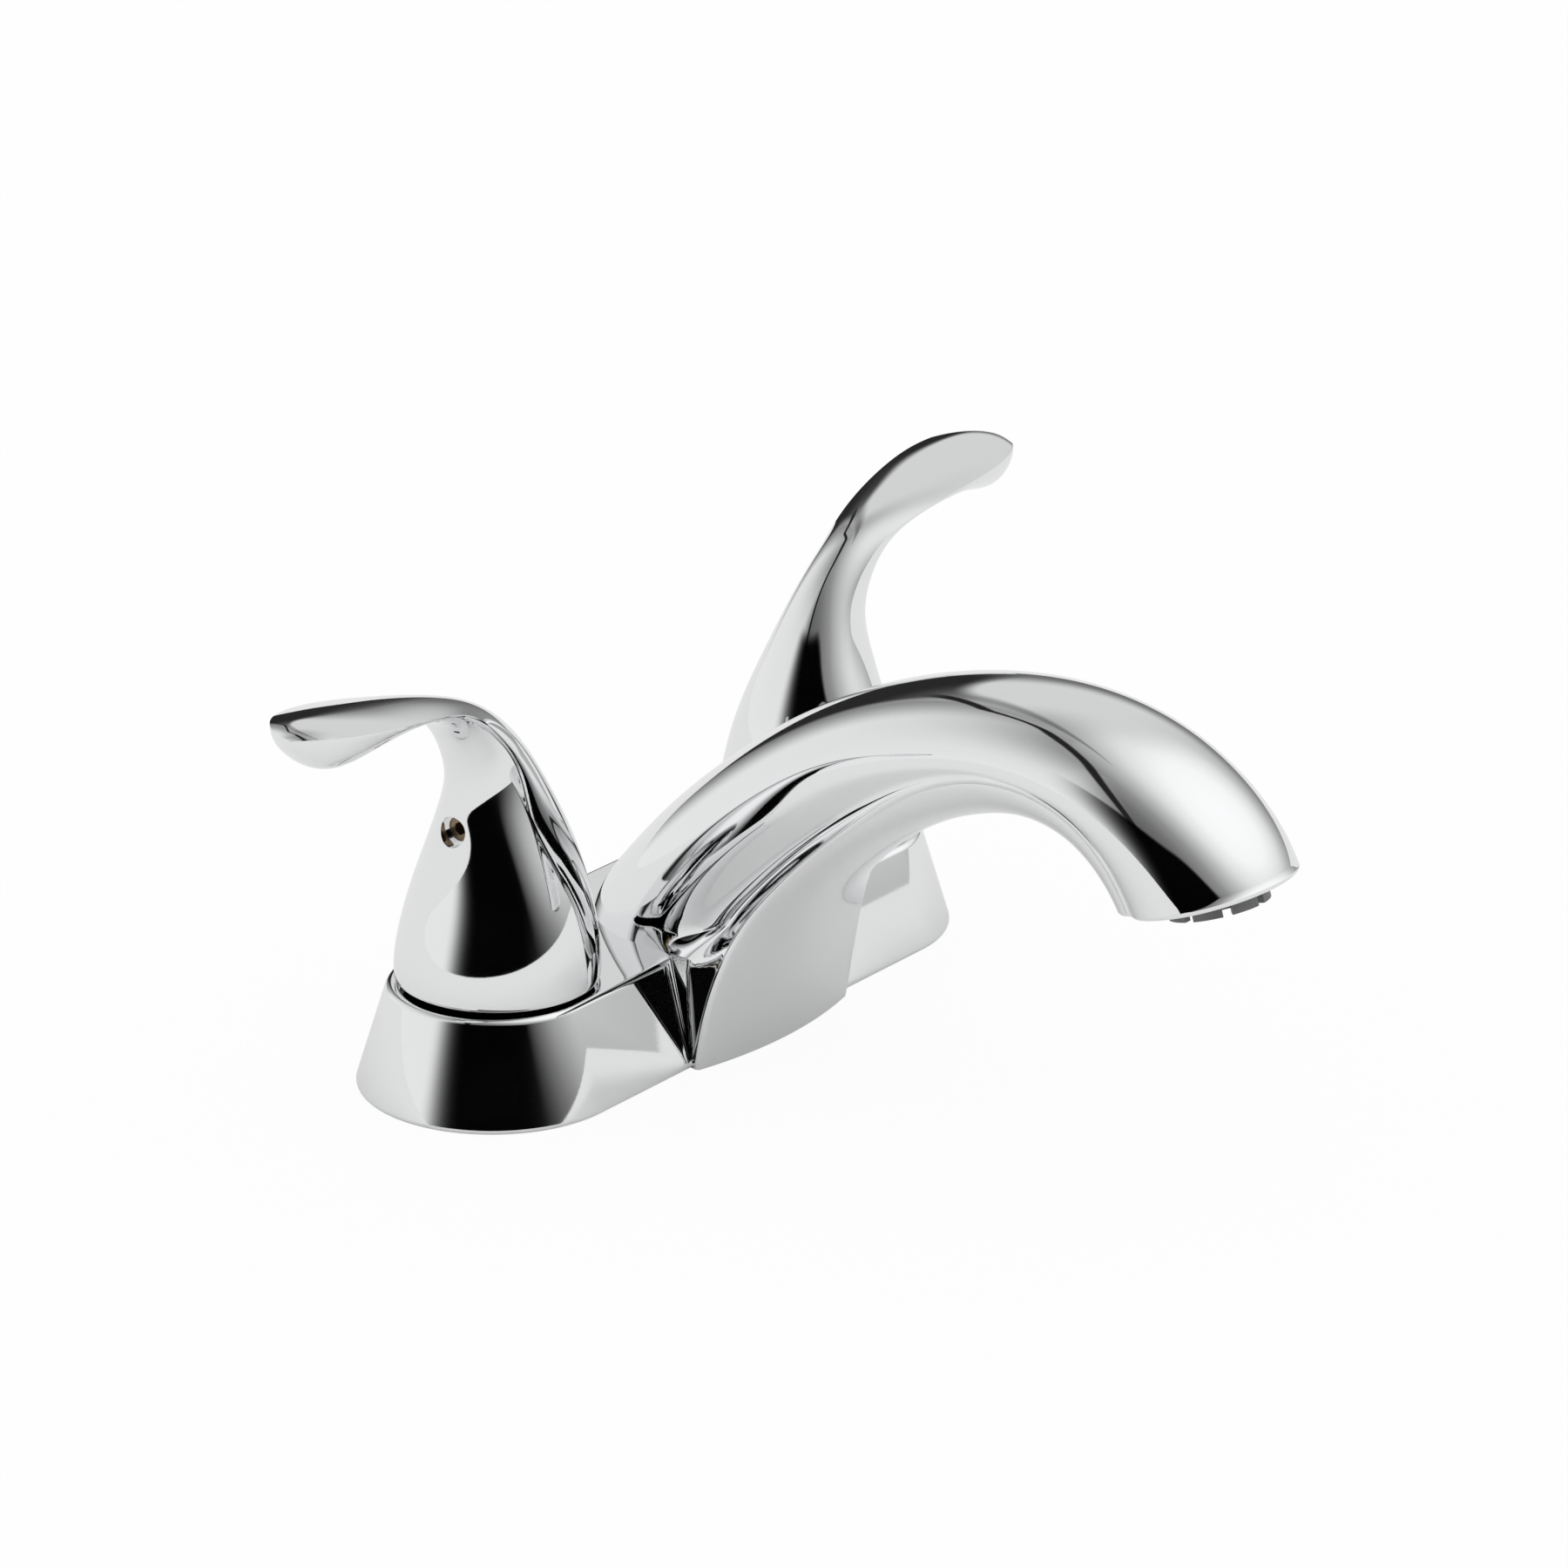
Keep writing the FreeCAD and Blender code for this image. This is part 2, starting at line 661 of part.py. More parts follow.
def valve_body(side, name):
    """Brass body with its threaded shank, clamped to the casting from below."""
    axis = f"{side} * handle_spacing / 2"
    corners = [
        ("inlet_radius", "0"),
        ("shank_radius", "0"),
        ("shank_radius", "shank_length + plate_thick"),
        ("valve_radius", "shank_length + plate_thick"),
        ("valve_radius", "shank_length + base_height - base_wall"),
        ("neck_radius", "shank_length + base_height - base_wall"),
        ("neck_radius", "shank_length + base_height + neck_height"),
        ("drum_radius + running_gap", "shank_length + base_height + neck_height"),
        ("drum_radius + running_gap", "shank_length + drum_floor"),
        ("0", "shank_length + drum_floor"),
        ("0", "shank_length + drum_floor - valve_floor"),
        ("inlet_radius", "shank_length + drum_floor - valve_floor"),
    ]
    blank = turned(f"{name}_valve_blank", corners, axis, "0", "0 - shank_length")
    pocket = cylinder(f"{name}_seat_pocket", "port_radius", "port_depth + 1",
                      axis, "port_offset", "drum_floor - port_depth")
    ledge = cylinder(f"{name}_seat_port", "port_ledge", "valve_floor + 1",
                     axis, "port_offset", "drum_floor - valve_floor - 1")
    socket = lying_cylinder(f"{name}_tube_socket", "tube_radius + running_gap", "valve_radius",
                            f"{side} * handle_spacing / 2 - {side} * tube_inset", "0", "tube_height",
                            -90 * side, Vector(0, 1, 0))
    window = lying_cylinder(f"{name}_side_port", "port_window", "valve_radius",
                            axis, "0", "tube_height", -90 * side, Vector(0, 1, 0))
    return cut(f"{name}_valve_body", blank, pocket, ledge, socket, window)


def seat(side, name):
    """Rubber seat that the drum closes on."""
    return ring(f"{name}_seat", "port_ledge - 0.6", "port_radius - running_gap", "seat_height",
                f"{side} * handle_spacing / 2", "port_offset", "drum_floor - seat_height")


def seat_spring(side, name):
    """Coil spring of square wire that lifts the seat."""
    wire = size("spring_wire")
    radius = size("port_radius") - size("running_gap") - wire
    free = size("port_depth") - size("seat_height") - 2 * wire
    coil = Part.makeHelix(free / 2, free, radius)
    corners = [(1, 1), (-1, 1), (-1, -1), (1, -1), (1, 1)]
    section = Part.makePolygon([Vector(radius + wire * x, 0, wire * z) for x, z in corners])
    spring = Part.Wire(coil).makePipeShell([section], True, True)
    place = Vector(side * size("handle_spacing") / 2, size("port_offset"),
                   size("drum_floor") - size("port_depth") + wire)
    return solid(f"{name}_seat_spring", spring, Placement(place, Rotation()))


def stem(side, name):
    """Rotary stem: a drum with a port below and a window in its side, and the flatted spindle."""
    top = "base_height + neck_height - washer_thick - drum_floor - seat_gap"
    corners = [
        ("0", "0"),
        ("drum_radius", "0"),
        ("drum_radius", "seal_groove_up"),
        ("drum_radius - seal_section", "seal_groove_up"),
        ("drum_radius - seal_section", "seal_groove_up + seal_section"),
        ("drum_radius", "seal_groove_up + seal_section"),
        ("drum_radius", top),
        ("stem_radius", top),
        ("stem_radius", f"{top} + stem_reach"),
        ("0", f"{top} + stem_reach"),
    ]
    axis = f"{side} * handle_spacing / 2"
    foot = "drum_floor + seat_gap"
    blank = turned(f"{name}_stem_blank", corners, axis, "0", foot)
    cavity = cylinder(f"{name}_drum_cavity", "drum_cavity_radius", "drum_cavity_height",
                      axis, "0", f"{foot} + drum_base")
    port = cylinder(f"{name}_drum_port", "port_ledge", "drum_base + 2",
                    f"{side} * handle_spacing / 2 - {side} * port_offset", "0", f"{foot} - 1")
    window = lying_cylinder(f"{name}_drum_window", "port_window", "drum_radius + 1",
                            axis, "0", "tube_height", 90, Vector(1, 0, 0))
    flat = box(f"{name}_stem_flat", "stem_radius", "2 * stem_radius + 2", "stem_flat_height",
               f"{side} * handle_spacing / 2 + {side} * stem_flat + {side} * stem_radius / 2 - stem_radius / 2",
               "0 - stem_radius - 1",
               "base_height + neck_height - washer_thick + stem_reach - stem_flat_height")
    return cut(f"{name}_stem", blank, cavity, port, window, flat)


def stem_seal(side, name):
    """Square seal ring in the drum's groove."""
    return ring(f"{name}_stem_seal", "drum_radius - seal_section", "drum_radius", "seal_section",
                f"{side} * handle_spacing / 2", "0", "drum_floor + seat_gap + seal_groove_up")


def thrust_washer(side, name):
    """Slippery washer between the drum's shoulder and the bonnet nut."""
    return ring(f"{name}_thrust_washer", "stem_radius + 2 * running_gap", "drum_radius - running_gap",
                "washer_thick", f"{side} * handle_spacing / 2", "0",
                "base_height + neck_height - washer_thick")


def bonnet_nut(side, name):
    """Hexagon nut that clamps the valve body up through the base and holds the stem in."""
    axis = f"{side} * handle_spacing / 2"
    blank = hexagon(f"{name}_bonnet_blank", "bonnet_radius", "neck_height + bonnet_lip")
    put(blank, axis, "0", "base_height")
    thread = cylinder(f"{name}_bonnet_thread", "neck_radius + running_gap", "neck_height + 1",
                      axis, "0", "base_height - 1")
    hole = cylinder(f"{name}_bonnet_hole", "stem_radius + 2 * running_gap", "neck_height + bonnet_lip + 1",
                    axis, "0", "base_height")
    return cut(f"{name}_bonnet_nut", blank, thread, hole)


# Handles, a mirror pair

def handle_rows(station):
    """Blade side and under side of one station of the handle, pointing along +X."""
    out, rise, tilt, half, blade, under = station
    out *= size("lever_reach") / 61.0
    rise *= size("lever_rise") / 66.8
    swell = size("dome_radius") / 20.0
    half, blade, under = half * swell, blade * swell, under * swell
    tilt = math.radians(tilt)
    middle = Vector(out, 0, rise)
    inner = Vector(-math.sin(tilt), 0, math.cos(tilt))

    def place(across, depth):
        return middle + Vector(0, across, 0) + inner * depth

    radius = (half * half + blade * blade) / (2 * blade)
    sweep = math.asin(min(1.0, half / radius))
    top, low = [], []
    for step in range(9):
        share = step / 4 - 1
        angle = share * sweep
        top.append(place(radius * math.sin(angle), radius * math.cos(angle) - radius + blade))
        angle = share * math.pi / 2
        low.append(place(-half * math.sin(angle), -under * math.cos(angle)))
    return [top, low]


def handle(side, name):
    """Bell-shaped handle whose blade sweeps over and out to a finger tip, cast in one."""
    rows = [handle_rows(station) for station in HANDLE]
    blank = solid(f"{name}_handle_skin", skin([[pair[strip] for pair in rows] for strip in (0, 1)]))
    cavity = doc.addObject("Part::Cone", f"{name}_handle_cavity")
    bind(cavity, Radius1="dome_radius - handle_wall + 0.2", Radius2="handle_cavity_top",
         Height="handle_cavity_height + 1")
    put(cavity, up="-1")
    spindle = cylinder(f"{name}_handle_bore", "stem_radius + running_gap",
                       "neck_height - washer_thick + stem_reach - dome_gap + seat_gap")
    pocket = lying_cylinder(f"{name}_screw_pocket", "screw_pocket_radius", "dome_radius",
                            "screw_pocket_floor", "0", "screw_height", 90, Vector(0, 1, 0))
    tapped = lying_cylinder(f"{name}_screw_hole", "screw_radius + running_gap", "dome_radius",
                            "0", "0", "screw_height", 90, Vector(0, 1, 0))
    tapped.setExpression("Height", formula("screw_pocket_floor + 1"))
    body = cut(f"{name}_handle", blank, cavity, spindle, pocket, tapped)
    return face_outward(body, side)


def face_outward(obj, side, out="0", up="0"):
    """Turn a piece drawn along +X to point away from the spout and place it on the handle's axis."""
    obj.Placement = Placement(Vector(0, 0, 0), Rotation(Vector(0, 0, 1), 0 if side > 0 else 180))
    return put(obj, f"{side} * handle_spacing / 2 + {side} * {out}", "0", f"base_height + dome_gap + {up}")


def set_screw(side, name):
    """Socket set screw that holds the handle on the stem's flat."""
    blank = cylinder(f"{name}_screw_blank", "screw_radius", "screw_length")
    blank.Placement = Placement(Vector(0, 0, 0), Rotation(Vector(0, 1, 0), 90))
    socket = hexagon(f"{name}_screw_socket", "hex_radius", "hex_depth + 1")
    socket.Placement = Placement(Vector(0, 0, 0), Rotation(Vector(0, 1, 0), 90))
    put(socket, "screw_length - hex_depth")
    return face_outward(cut(f"{name}_set_screw", blank, socket), side, "stem_flat", "screw_height")


# Waterway under the base

def supply_tube(side, name):
    """Brass tube from a valve to the tee."""
    length = "handle_spacing / 2 - tube_inset - tee_arm_length / 2 + tee_grip"
    outer = lying_cylinder(f"{name}_tube_outer", "tube_radius", length,
                           f"{side} * tee_arm_length / 2 - {side} * tee_grip", "0", "tube_height",
                           90 * side, Vector(0, 1, 0))
    inner = lying_cylinder(f"{name}_tube_inner", "tube_radius - tube_wall", length + " + 2 * tube_wall",
                           f"{side} * tee_arm_length / 2 - {side} * tee_grip - {side} * tube_wall", "0", "tube_height",
                           90 * side, Vector(0, 1, 0))
    return cut(f"{name}_supply_tube", outer, inner)


def spout_tee():
    """Brazed tee that joins both tubes and takes the riser."""
    arm = lying_cylinder("tee_arm", "tee_arm_radius", "tee_arm_length",
                         "0 - tee_arm_length / 2", "0", "tube_height", 90, Vector(0, 1, 0))
    boss = cylinder("tee_boss", "tee_radius", "tee_height", "0", "0 - riser_forward", "tee_foot")
    tools = []
    for side, name in SIDES:
        tools.append(lying_cylinder(f"{name}_tee_socket", "tube_radius + running_gap", "2 * tee_grip",
                                    f"{side} * tee_arm_length / 2 - {side} * tee_grip", "0", "tube_height",
                                    90 * side, Vector(0, 1, 0)))
    tools.append(lying_cylinder("tee_cross", "tube_radius - tube_wall", "tee_arm_length",
                                "0 - tee_arm_length / 2", "0", "tube_height", 90, Vector(0, 1, 0)))
    tools.append(cylinder("tee_throat", "riser_radius - riser_wall", "tee_height",
                          "0", "0 - riser_forward", "tube_height"))
    tools.append(cylinder("tee_socket", "riser_radius + running_gap", "tee_height",
                          "0", "0 - riser_forward", "riser_foot"))
    return cut("spout_tee", fuse("tee_blank", arm, boss), *tools)


def spout_riser():
    """Short tube from the tee up into the casting."""
    return ring("spout_riser", "riser_radius - riser_wall", "riser_radius",
                "base_height + riser_socket - riser_foot - seat_gap",
                "0", "0 - riser_forward", "riser_foot")


# Aerator

def aerator_housing():
    """Threaded ring with key notches round its free edge."""
    blank = ring("housing_blank", "aerator_radius - aerator_wall", "aerator_radius",
                 "aerator_depth + aerator_show")
    ledge = turned("housing_ledge", [
        ("aerator_radius - 2 * aerator_wall", "insert_depth"),
        ("aerator_radius - aerator_wall / 2", "insert_depth"),
        ("aerator_radius - aerator_wall / 2", "insert_depth + insert_floor"),
        ("aerator_radius - 2 * aerator_wall", "insert_depth + insert_floor"),
    ])
    body = fuse("housing_blank_with_ledge", blank, ledge)
    tools = []
    for step in range(NOTCHES):
        notch = box(f"key_notch_{step}", "2 * aerator_wall", "notch_width", "notch_depth")
        turn = Rotation(Vector(0, 0, 1), 360 * step / NOTCHES)
        reach = turn.multVec(Vector(size("aerator_radius") - 1.2 * size("aerator_wall"),
                                    -size("notch_width") / 2, -0.01))
        tools.append(fixed(notch, Placement(reach, turn)))
    obj = cut("aerator_housing", body, *tools)
    obj.Placement = outlet_place(-size("aerator_show"))
    return obj


def aerator_insert():
    """Moulded cup with a perforated floor that breaks up the stream."""
    radius = "aerator_radius - aerator_wall - running_gap"
    cup = turned("insert_cup", [
        ("0", "0"),
        (radius, "0"),
        (radius, "insert_height"),
        (radius + " - aerator_wall", "insert_height"),
        (radius + " - aerator_wall", "insert_floor"),
        ("0", "insert_floor"),
    ])
    tools = [put(hexagon("insert_hole", "insert_hole_radius", "insert_floor + 1"), up="-0.5")]
    for row in (1, 2):
        reach = size("insert_hole_pitch") * row
        for step in range(6 * row):
            angle = math.pi * step / (3 * row)
            hole = hexagon(f"insert_hole_{row}_{step}", "insert_hole_radius", "insert_floor + 1")
            there = Vector(reach * math.cos(angle), reach * math.sin(angle), -0.5)
            tools.append(fixed(hole, Placement(there, Rotation())))
    obj = cut("aerator_insert", cup, fuse("insert_holes", *tools))
    obj.Placement = outlet_place(size("insert_depth") + size("insert_floor") - size("aerator_show"))
    return obj


def aerator_washer():
    """Rubber washer between the housing and the floor of its pocket."""
    washer = ring("aerator_washer", "aerator_radius - washer_width", "aerator_radius - running_gap",
                  "washer_thick")
    return fixed(washer, outlet_place(size("aerator_depth")))


# Fixing below the deck

def mounting_nut(side, name):
    """Moulded wing nut with a clamping flange, run up the shank."""
    sleeve = turned(f"{name}_nut_blank", [
        ("shank_radius + running_gap", "0"),
        ("nut_radius", "0"),
        ("nut_radius", "nut_height - nut_flange"),
        ("nut_flange_radius", "nut_height - nut_flange"),
        ("nut_flange_radius", "nut_height"),
        ("shank_radius + running_gap", "nut_height"),
    ])
    wings = []
    for step in range(4):
        wing = box(f"{name}_wing_{step}", "wing_reach + 1", "wing_thick", "nut_height - nut_flange / 2")
        turn = Rotation(Vector(0, 0, 1), 90 * step + 45)
        reach = turn.multVec(Vector(size("nut_radius") - 1, -size("wing_thick") / 2, 0))
        wings.append(fixed(wing, Placement(reach, turn)))
    obj = fuse(f"{name}_mounting_nut", sleeve, *wings)
    return put(obj, f"{side} * handle_spacing / 2", "0", "0 - nut_drop - nut_height")


SIDES = [(-1, "hot"), (1, "cold")]
NOTCHES = 8

nodes = [casting(), deck_plate(), spout_tee(), spout_riser(),
         aerator_housing(), aerator_insert(), aerator_washer()]
for side, name in SIDES:
    nodes += [
        valve_body(side, name), seat(side, name), seat_spring(side, name), stem(side, name),
        stem_seal(side, name), thrust_washer(side, name), bonnet_nut(side, name),
        handle(side, name), set_screw(side, name), supply_tube(side, name),
        mounting_nut(side, name),
    ]

doc.recompute()

# Check every object before anything is written
for obj in doc.Objects:
    if "Invalid" in obj.State or "Error" in obj.State:
        raise RuntimeError(f"{obj.Label} did not build: {obj.State}")
os.makedirs("parts", exist_ok=True)
for obj in nodes:
    shape = obj.Shape
    if shape.isNull() or not shape.isValid():
        raise RuntimeError(f"{obj.Label} has no valid shape")
for obj in nodes:
    obj.Shape.exportStep(f"parts/{obj.Label}.step")
    print(f"{obj.Label}: {len(obj.Shape.Solids)} solid, {obj.Shape.Volume:.0f} cubic mm")
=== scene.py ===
import bmesh
import bpy
import math
import numpy as np
from mathutils import Matrix, Vector


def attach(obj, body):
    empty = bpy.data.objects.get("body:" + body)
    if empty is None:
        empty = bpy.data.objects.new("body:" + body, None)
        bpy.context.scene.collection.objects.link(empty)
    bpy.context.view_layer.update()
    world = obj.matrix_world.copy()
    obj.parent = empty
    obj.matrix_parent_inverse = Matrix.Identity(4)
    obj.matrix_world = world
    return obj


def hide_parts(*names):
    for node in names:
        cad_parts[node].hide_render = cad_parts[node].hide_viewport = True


# Centerset bathroom faucet in polished chrome.
# Metres. X runs from the hot handle to the cold handle, -Y points at the user, +Z is up.

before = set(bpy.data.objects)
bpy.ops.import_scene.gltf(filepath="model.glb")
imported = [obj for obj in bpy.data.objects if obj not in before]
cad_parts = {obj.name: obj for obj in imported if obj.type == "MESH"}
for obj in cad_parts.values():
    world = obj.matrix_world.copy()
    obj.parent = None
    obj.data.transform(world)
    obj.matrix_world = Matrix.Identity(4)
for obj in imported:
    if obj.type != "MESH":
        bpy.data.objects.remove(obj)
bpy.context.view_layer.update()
MM = 0.001

# Sizes that the fine skins share with the solids, in millimetres
HANDLE_SPACING = 101.6
BASE_OVERHANG = 28.4
BASE_WIDTH = 54.2
BASE_HEIGHT = 21.1
BASE_INSET = 6.4
BASE_WALL = 3.0
BASE_ROUND = 1.4
BASE_FOOT_ROUND = 0.8
VALVE_HOLE_RADIUS = 11.3
ROOT_HALF_WIDTH = 20.8
OUTLET_HALF_WIDTH = 19.0
PANEL_EDGE = 1.3
VALLEY_FOOT = 26.4
VALLEY_TOP = 25.0
VALLEY_ROUND = 6.0
VALLEY_END = 18.0
VALLEY_FLOOR = 1.5
WEB_DEPTH = 7.0
RIDGE_FOOT = -27.3
RIDGE_ROUND = 1.8
OUTLET_FORWARD = 1.2
AERATOR_RADIUS = 9.9
AERATOR_GAP = 0.05
AERATOR_POCKET_DEPTH = 8.6
DOME_GAP = 0.9
OUTLET_ROUND = 0.9
SKIRT_ROUND = 0.5
CAVITY_FOOT_RADIUS = 17.6
CAVITY_TOP_RADIUS = 14.2
CAVITY_HEIGHT = 17.0
STEM_BORE_RADIUS = 4.55
STEM_BORE_HEIGHT = 36.6
SCREW_HEIGHT = 33.6
SCREW_POCKET_RADIUS = 3.0
SCREW_POCKET_FLOOR = 11.2
SCREW_THREAD_RADIUS = 2.45
SCREW_THREAD_END = 12.2
SIDES = {"hot": -1, "cold": 1}

# The valley's turn in degrees, and how far the ridge leans back on its way up
VALLEY_SWEEP = 55.0
RIDGE_LEAN = 0.14

# The scoop's round end, in stations: its start at the crease with its shift towards the lip,
# and its length
SCOOP_START = (2.2, -1.35, 1.5)
SCOOP_END_LENGTH = 0.7

# How far cutters reach past what they cut, in millimetres
CUT_BELOW_SKIRT = 1.0
CUT_PAST_OUTLET = 10.0
CUT_PAST_POCKET = 20.0
CUT_ABOVE_VALLEY = 2.0
CUT_BEFORE_VALLEY = 3.0
CUT_ABOVE_RIDGE = 0.2
CUT_BESIDE_RIDGE = 5.0

# How far the ridge's cutter reaches past the valley's wall, the foot and length of the valve hole's
# cutter, and how far a plain block reaches on each side
RIDGE_OVERLAP = 0.05
VALVE_HOLE_CUT = (5.0, 30.0)
FAR = 80.0

# The spout's stations, foot to outlet:
# crown (y, z), front panel (y, z), panel half width, panel depth,
# how far the section has turned from upright neck to level arm,
# where along the section the crease lies, and how deep the scoop below it is.
SPOUT = [
    ((12.5, -2.0), (-31.3, -2.0), 23.5, 3.1, 0.00, 0.62, 3.9),
    ((12.5, 10.2), (-33.0, 10.1), 23.6, 2.8, 0.00, 0.59, 4.1),
    ((10.9, 23.2), (-36.0, 20.8), 22.5, 3.0, 0.08, 0.54, 4.2),
    ((3.4, 34.4), (-41.3, 30.2), 20.5, 4.2, 0.25, 0.50, 4.1),
    ((-5.8, 44.7), (-48.1, 38.2), 19.3, 5.0, 0.42, 0.50, 3.9),
    ((-16.3, 54.6), (-55.4, 45.0), 18.8, 5.7, 0.56, 0.50, 3.5),
    ((-28.0, 64.1), (-62.7, 50.8), 18.7, 6.2, 0.66, 0.50, 2.9),
    ((-41.1, 72.8), (-69.9, 55.5), 18.8, 7.0, 0.74, 0.48, 2.2),
    ((-55.6, 80.0), (-77.1, 59.2), 19.0, 8.2, 0.83, 0.48, 1.5),
    ((-71.3, 85.2), (-84.4, 61.9), 19.1, 9.4, 0.91, 0.48, 0.8),
    ((-87.9, 88.0), (-91.9, 63.7), 19.1, 10.1, 0.97, 0.51, 0.3),
    ((-104.8, 87.5), (-99.2, 64.0), 18.7, 10.0, 1.00, 0.56, 0.0),
    ((-121.4, 82.9), (-105.9, 62.2), 17.7, 9.2, 1.00, 0.60, 0.0),
    ((-136.3, 73.8), (-111.5, 57.9), 16.1, 7.9, 1.00, 0.63, 0.0),
    ((-146.3, 60.9), (-116.0, 51.4), 14.5, 6.5, 1.00, 0.66, 0.0),
]

# The section's widest height and the fullness of its round crown
WIDEST = 0.52
FULLNESS = 0.56

# The flank: its lean in degrees, what the turn adds, and how far its curve is drawn at each end
FLANK_LEAN = -12
FLANK_TURN = 67
FLANK_START = 0.4
FLANK_END = 0.36

# The panel's round edge: its lean and the ends of its curve, all in shares of its size
PANEL_EDGE_LEAN = 0.27
PANEL_EDGE_OVER = (0.2, -0.3)
PANEL_EDGE_UNDER = (0.27, 0.23)

# How much the turn deepens and widens the belly between the panel's edges
BELLY_DEEPER = 0.35
BELLY_WIDER = 0.65

# The handle's stations, skirt to finger tip:
# way out, way up, section tilt in degrees, half width,
# height of the blade side and depth of the under side.
HANDLE = [
    (0.0, 0.0, 90.0, 20.0, 20.0, 20.0),
    (-0.2, 8.0, 90.0, 19.6, 19.6, 19.6),
    (-0.8, 18.0, 90.0, 17.4, 17.4, 17.4),
    (-1.4, 28.0, 88.0, 13.8, 13.8, 15.9),
    (-0.5, 37.9, 79.0, 9.8, 9.6, 14.1),
    (2.3, 47.0, 63.0, 7.0, 6.2, 11.5),
    (8.0, 54.4, 43.0, 6.2, 3.9, 8.2),
    (15.5, 59.6, 25.0, 6.9, 2.1, 4.4),
    (24.8, 62.6, 14.0, 8.6, 1.5, 2.2),
    (34.7, 64.6, 9.5, 10.1, 1.3, 3.2),
    (43.6, 66.0, 7.5, 10.7, 1.4, 6.2),
    (50.7, 66.9, 6.5, 9.9, 1.5, 8.3),
    (55.8, 67.3, 5.5, 7.9, 1.4, 6.5),
    (59.2, 67.2, 4.5, 4.6, 0.9, 3.5),
    (61.0, 66.8, 4.0, 1.2, 0.3, 0.9),
]

# Steps of the fine skins between stations and between points of a section
SPOUT_STEPS = (14, 8)
HANDLE_STEPS = (10, 10)

# The scoop's section is share ** 2 * (1 - share), which peaks at 4 / 27
SCOOP_SCALE = 27 / 4

# The shank's thread, in metres: pitch, depth and the height under which it runs
THREAD_PITCH = 0.001814
THREAD_DEPTH = 0.0009
THREAD_TOP = -0.003


# Smooth surfaces

def smooth_through(points, steps):
    """Points along the smooth curve through an array's rows, with some steps to each span."""
    points = np.asarray(points, float)
    count = len(points)
    reach = min(4, count)
    slope = np.linalg.inv(np.vander(np.arange(reach), increasing=True))[1]
    system = np.eye(count) * 4
    right = np.zeros_like(points)
    for index in range(1, count - 1):
        system[index, index - 1] = 1
        system[index, index + 1] = 1
        right[index] = 3 * (points[index + 1] - points[index - 1])
    system[0, 0] = 1
    system[-1, -1] = 1
    right[0] = np.tensordot(slope, points[:reach], axes=1)
    right[-1] = -np.tensordot(slope, points[::-1][:reach], axes=1)
    slopes = np.linalg.solve(system, right.reshape(count, -1)).reshape(points.shape)
    rows = []
    for index in range(count - 1):
        for step in range(steps):
            t = step / steps
            rows.append(points[index] * (1 + 2 * t) * (1 - t) ** 2
                        + slopes[index] * t * (1 - t) ** 2
                        + points[index + 1] * t * t * (3 - 2 * t)
                        + slopes[index + 1] * t * t * (t - 1))
    rows.append(points[-1])
    return np.array(rows)


def smooth_grid(rows, along, across):
    """A fine grid of points on the smooth face through one row of points per station."""
    fine = smooth_through(rows, along)
    return np.swapaxes(smooth_through(np.swapaxes(fine, 0, 1), across), 0, 1)


def bezier(start, first, second, end, share):
    """A point of a cubic curve."""
    rest = 1 - share
    return (start * rest ** 3 + first * (3 * rest * rest * share)
            + second * (3 * rest * share * share) + end * share ** 3)


def pair(x, y):
    """A point of a section."""
    return np.array([x, y], float)


# Spout

def spout_frame(station):
    """Crown point, panel point, unit vector between them and thickness at a station."""
    crown = np.array([0, *station[0]], float)
    panel = np.array([0, *station[1]], float)
    thick = np.linalg.norm(crown - panel)
    return crown, panel, (crown - panel) / thick, thick


def spout_half(station, along, across):
    """Half a section as (half width, height) points: crown, flank, lip and panel."""
    panel_half, panel_depth, turned_by, crease = station[2:6]
    thick = spout_frame(station)[3]
    half = ROOT_HALF_WIDTH * (1 - along) + OUTLET_HALF_WIDTH * along
    tall = WIDEST * thick
    top = pair(0, thick)
    side = pair(half, tall)
    edge = pair(panel_half, panel_depth)
    lip = edge + pair(PANEL_EDGE_LEAN, 1) * PANEL_EDGE
    lean = math.radians(FLANK_TURN * turned_by + FLANK_LEAN)
    drop = np.linalg.norm(side - lip)

    def outer(share):
        if share <= 0.5:
            return bezier(top, pair(FULLNESS * half, thick),
                          pair(half, tall + FULLNESS * (thick - tall)), side, 2 * share)
        return bezier(side, pair(half, tall - FLANK_START * drop),
                      lip + pair(math.sin(lean), math.cos(lean)) * (FLANK_END * drop),
                      lip, 2 * share - 1)

    steps = np.linspace(0, 1, 4 * across + 1)
    crown = [outer(step * crease) for step in steps]
    flank = [outer(crease + (1 - crease) * step) for step in steps]
    over = lip + pair(*PANEL_EDGE_OVER) * PANEL_EDGE
    under = edge + pair(*PANEL_EDGE_UNDER) * PANEL_EDGE
    round_lip = [bezier(lip, over, under, edge, share) for share in np.linspace(0, 1, 2 * across + 1)]
    outward = pair(panel_half * (2 + turned_by) / 3, panel_depth * (1 + BELLY_DEEPER * turned_by) / 3)
    inward = pair(panel_half * (1 + BELLY_WIDER * turned_by) / 3, 0)
    belly = [bezier(edge, outward, inward, pair(0, 0), step) for step in steps]
    return crown, flank, round_lip, belly


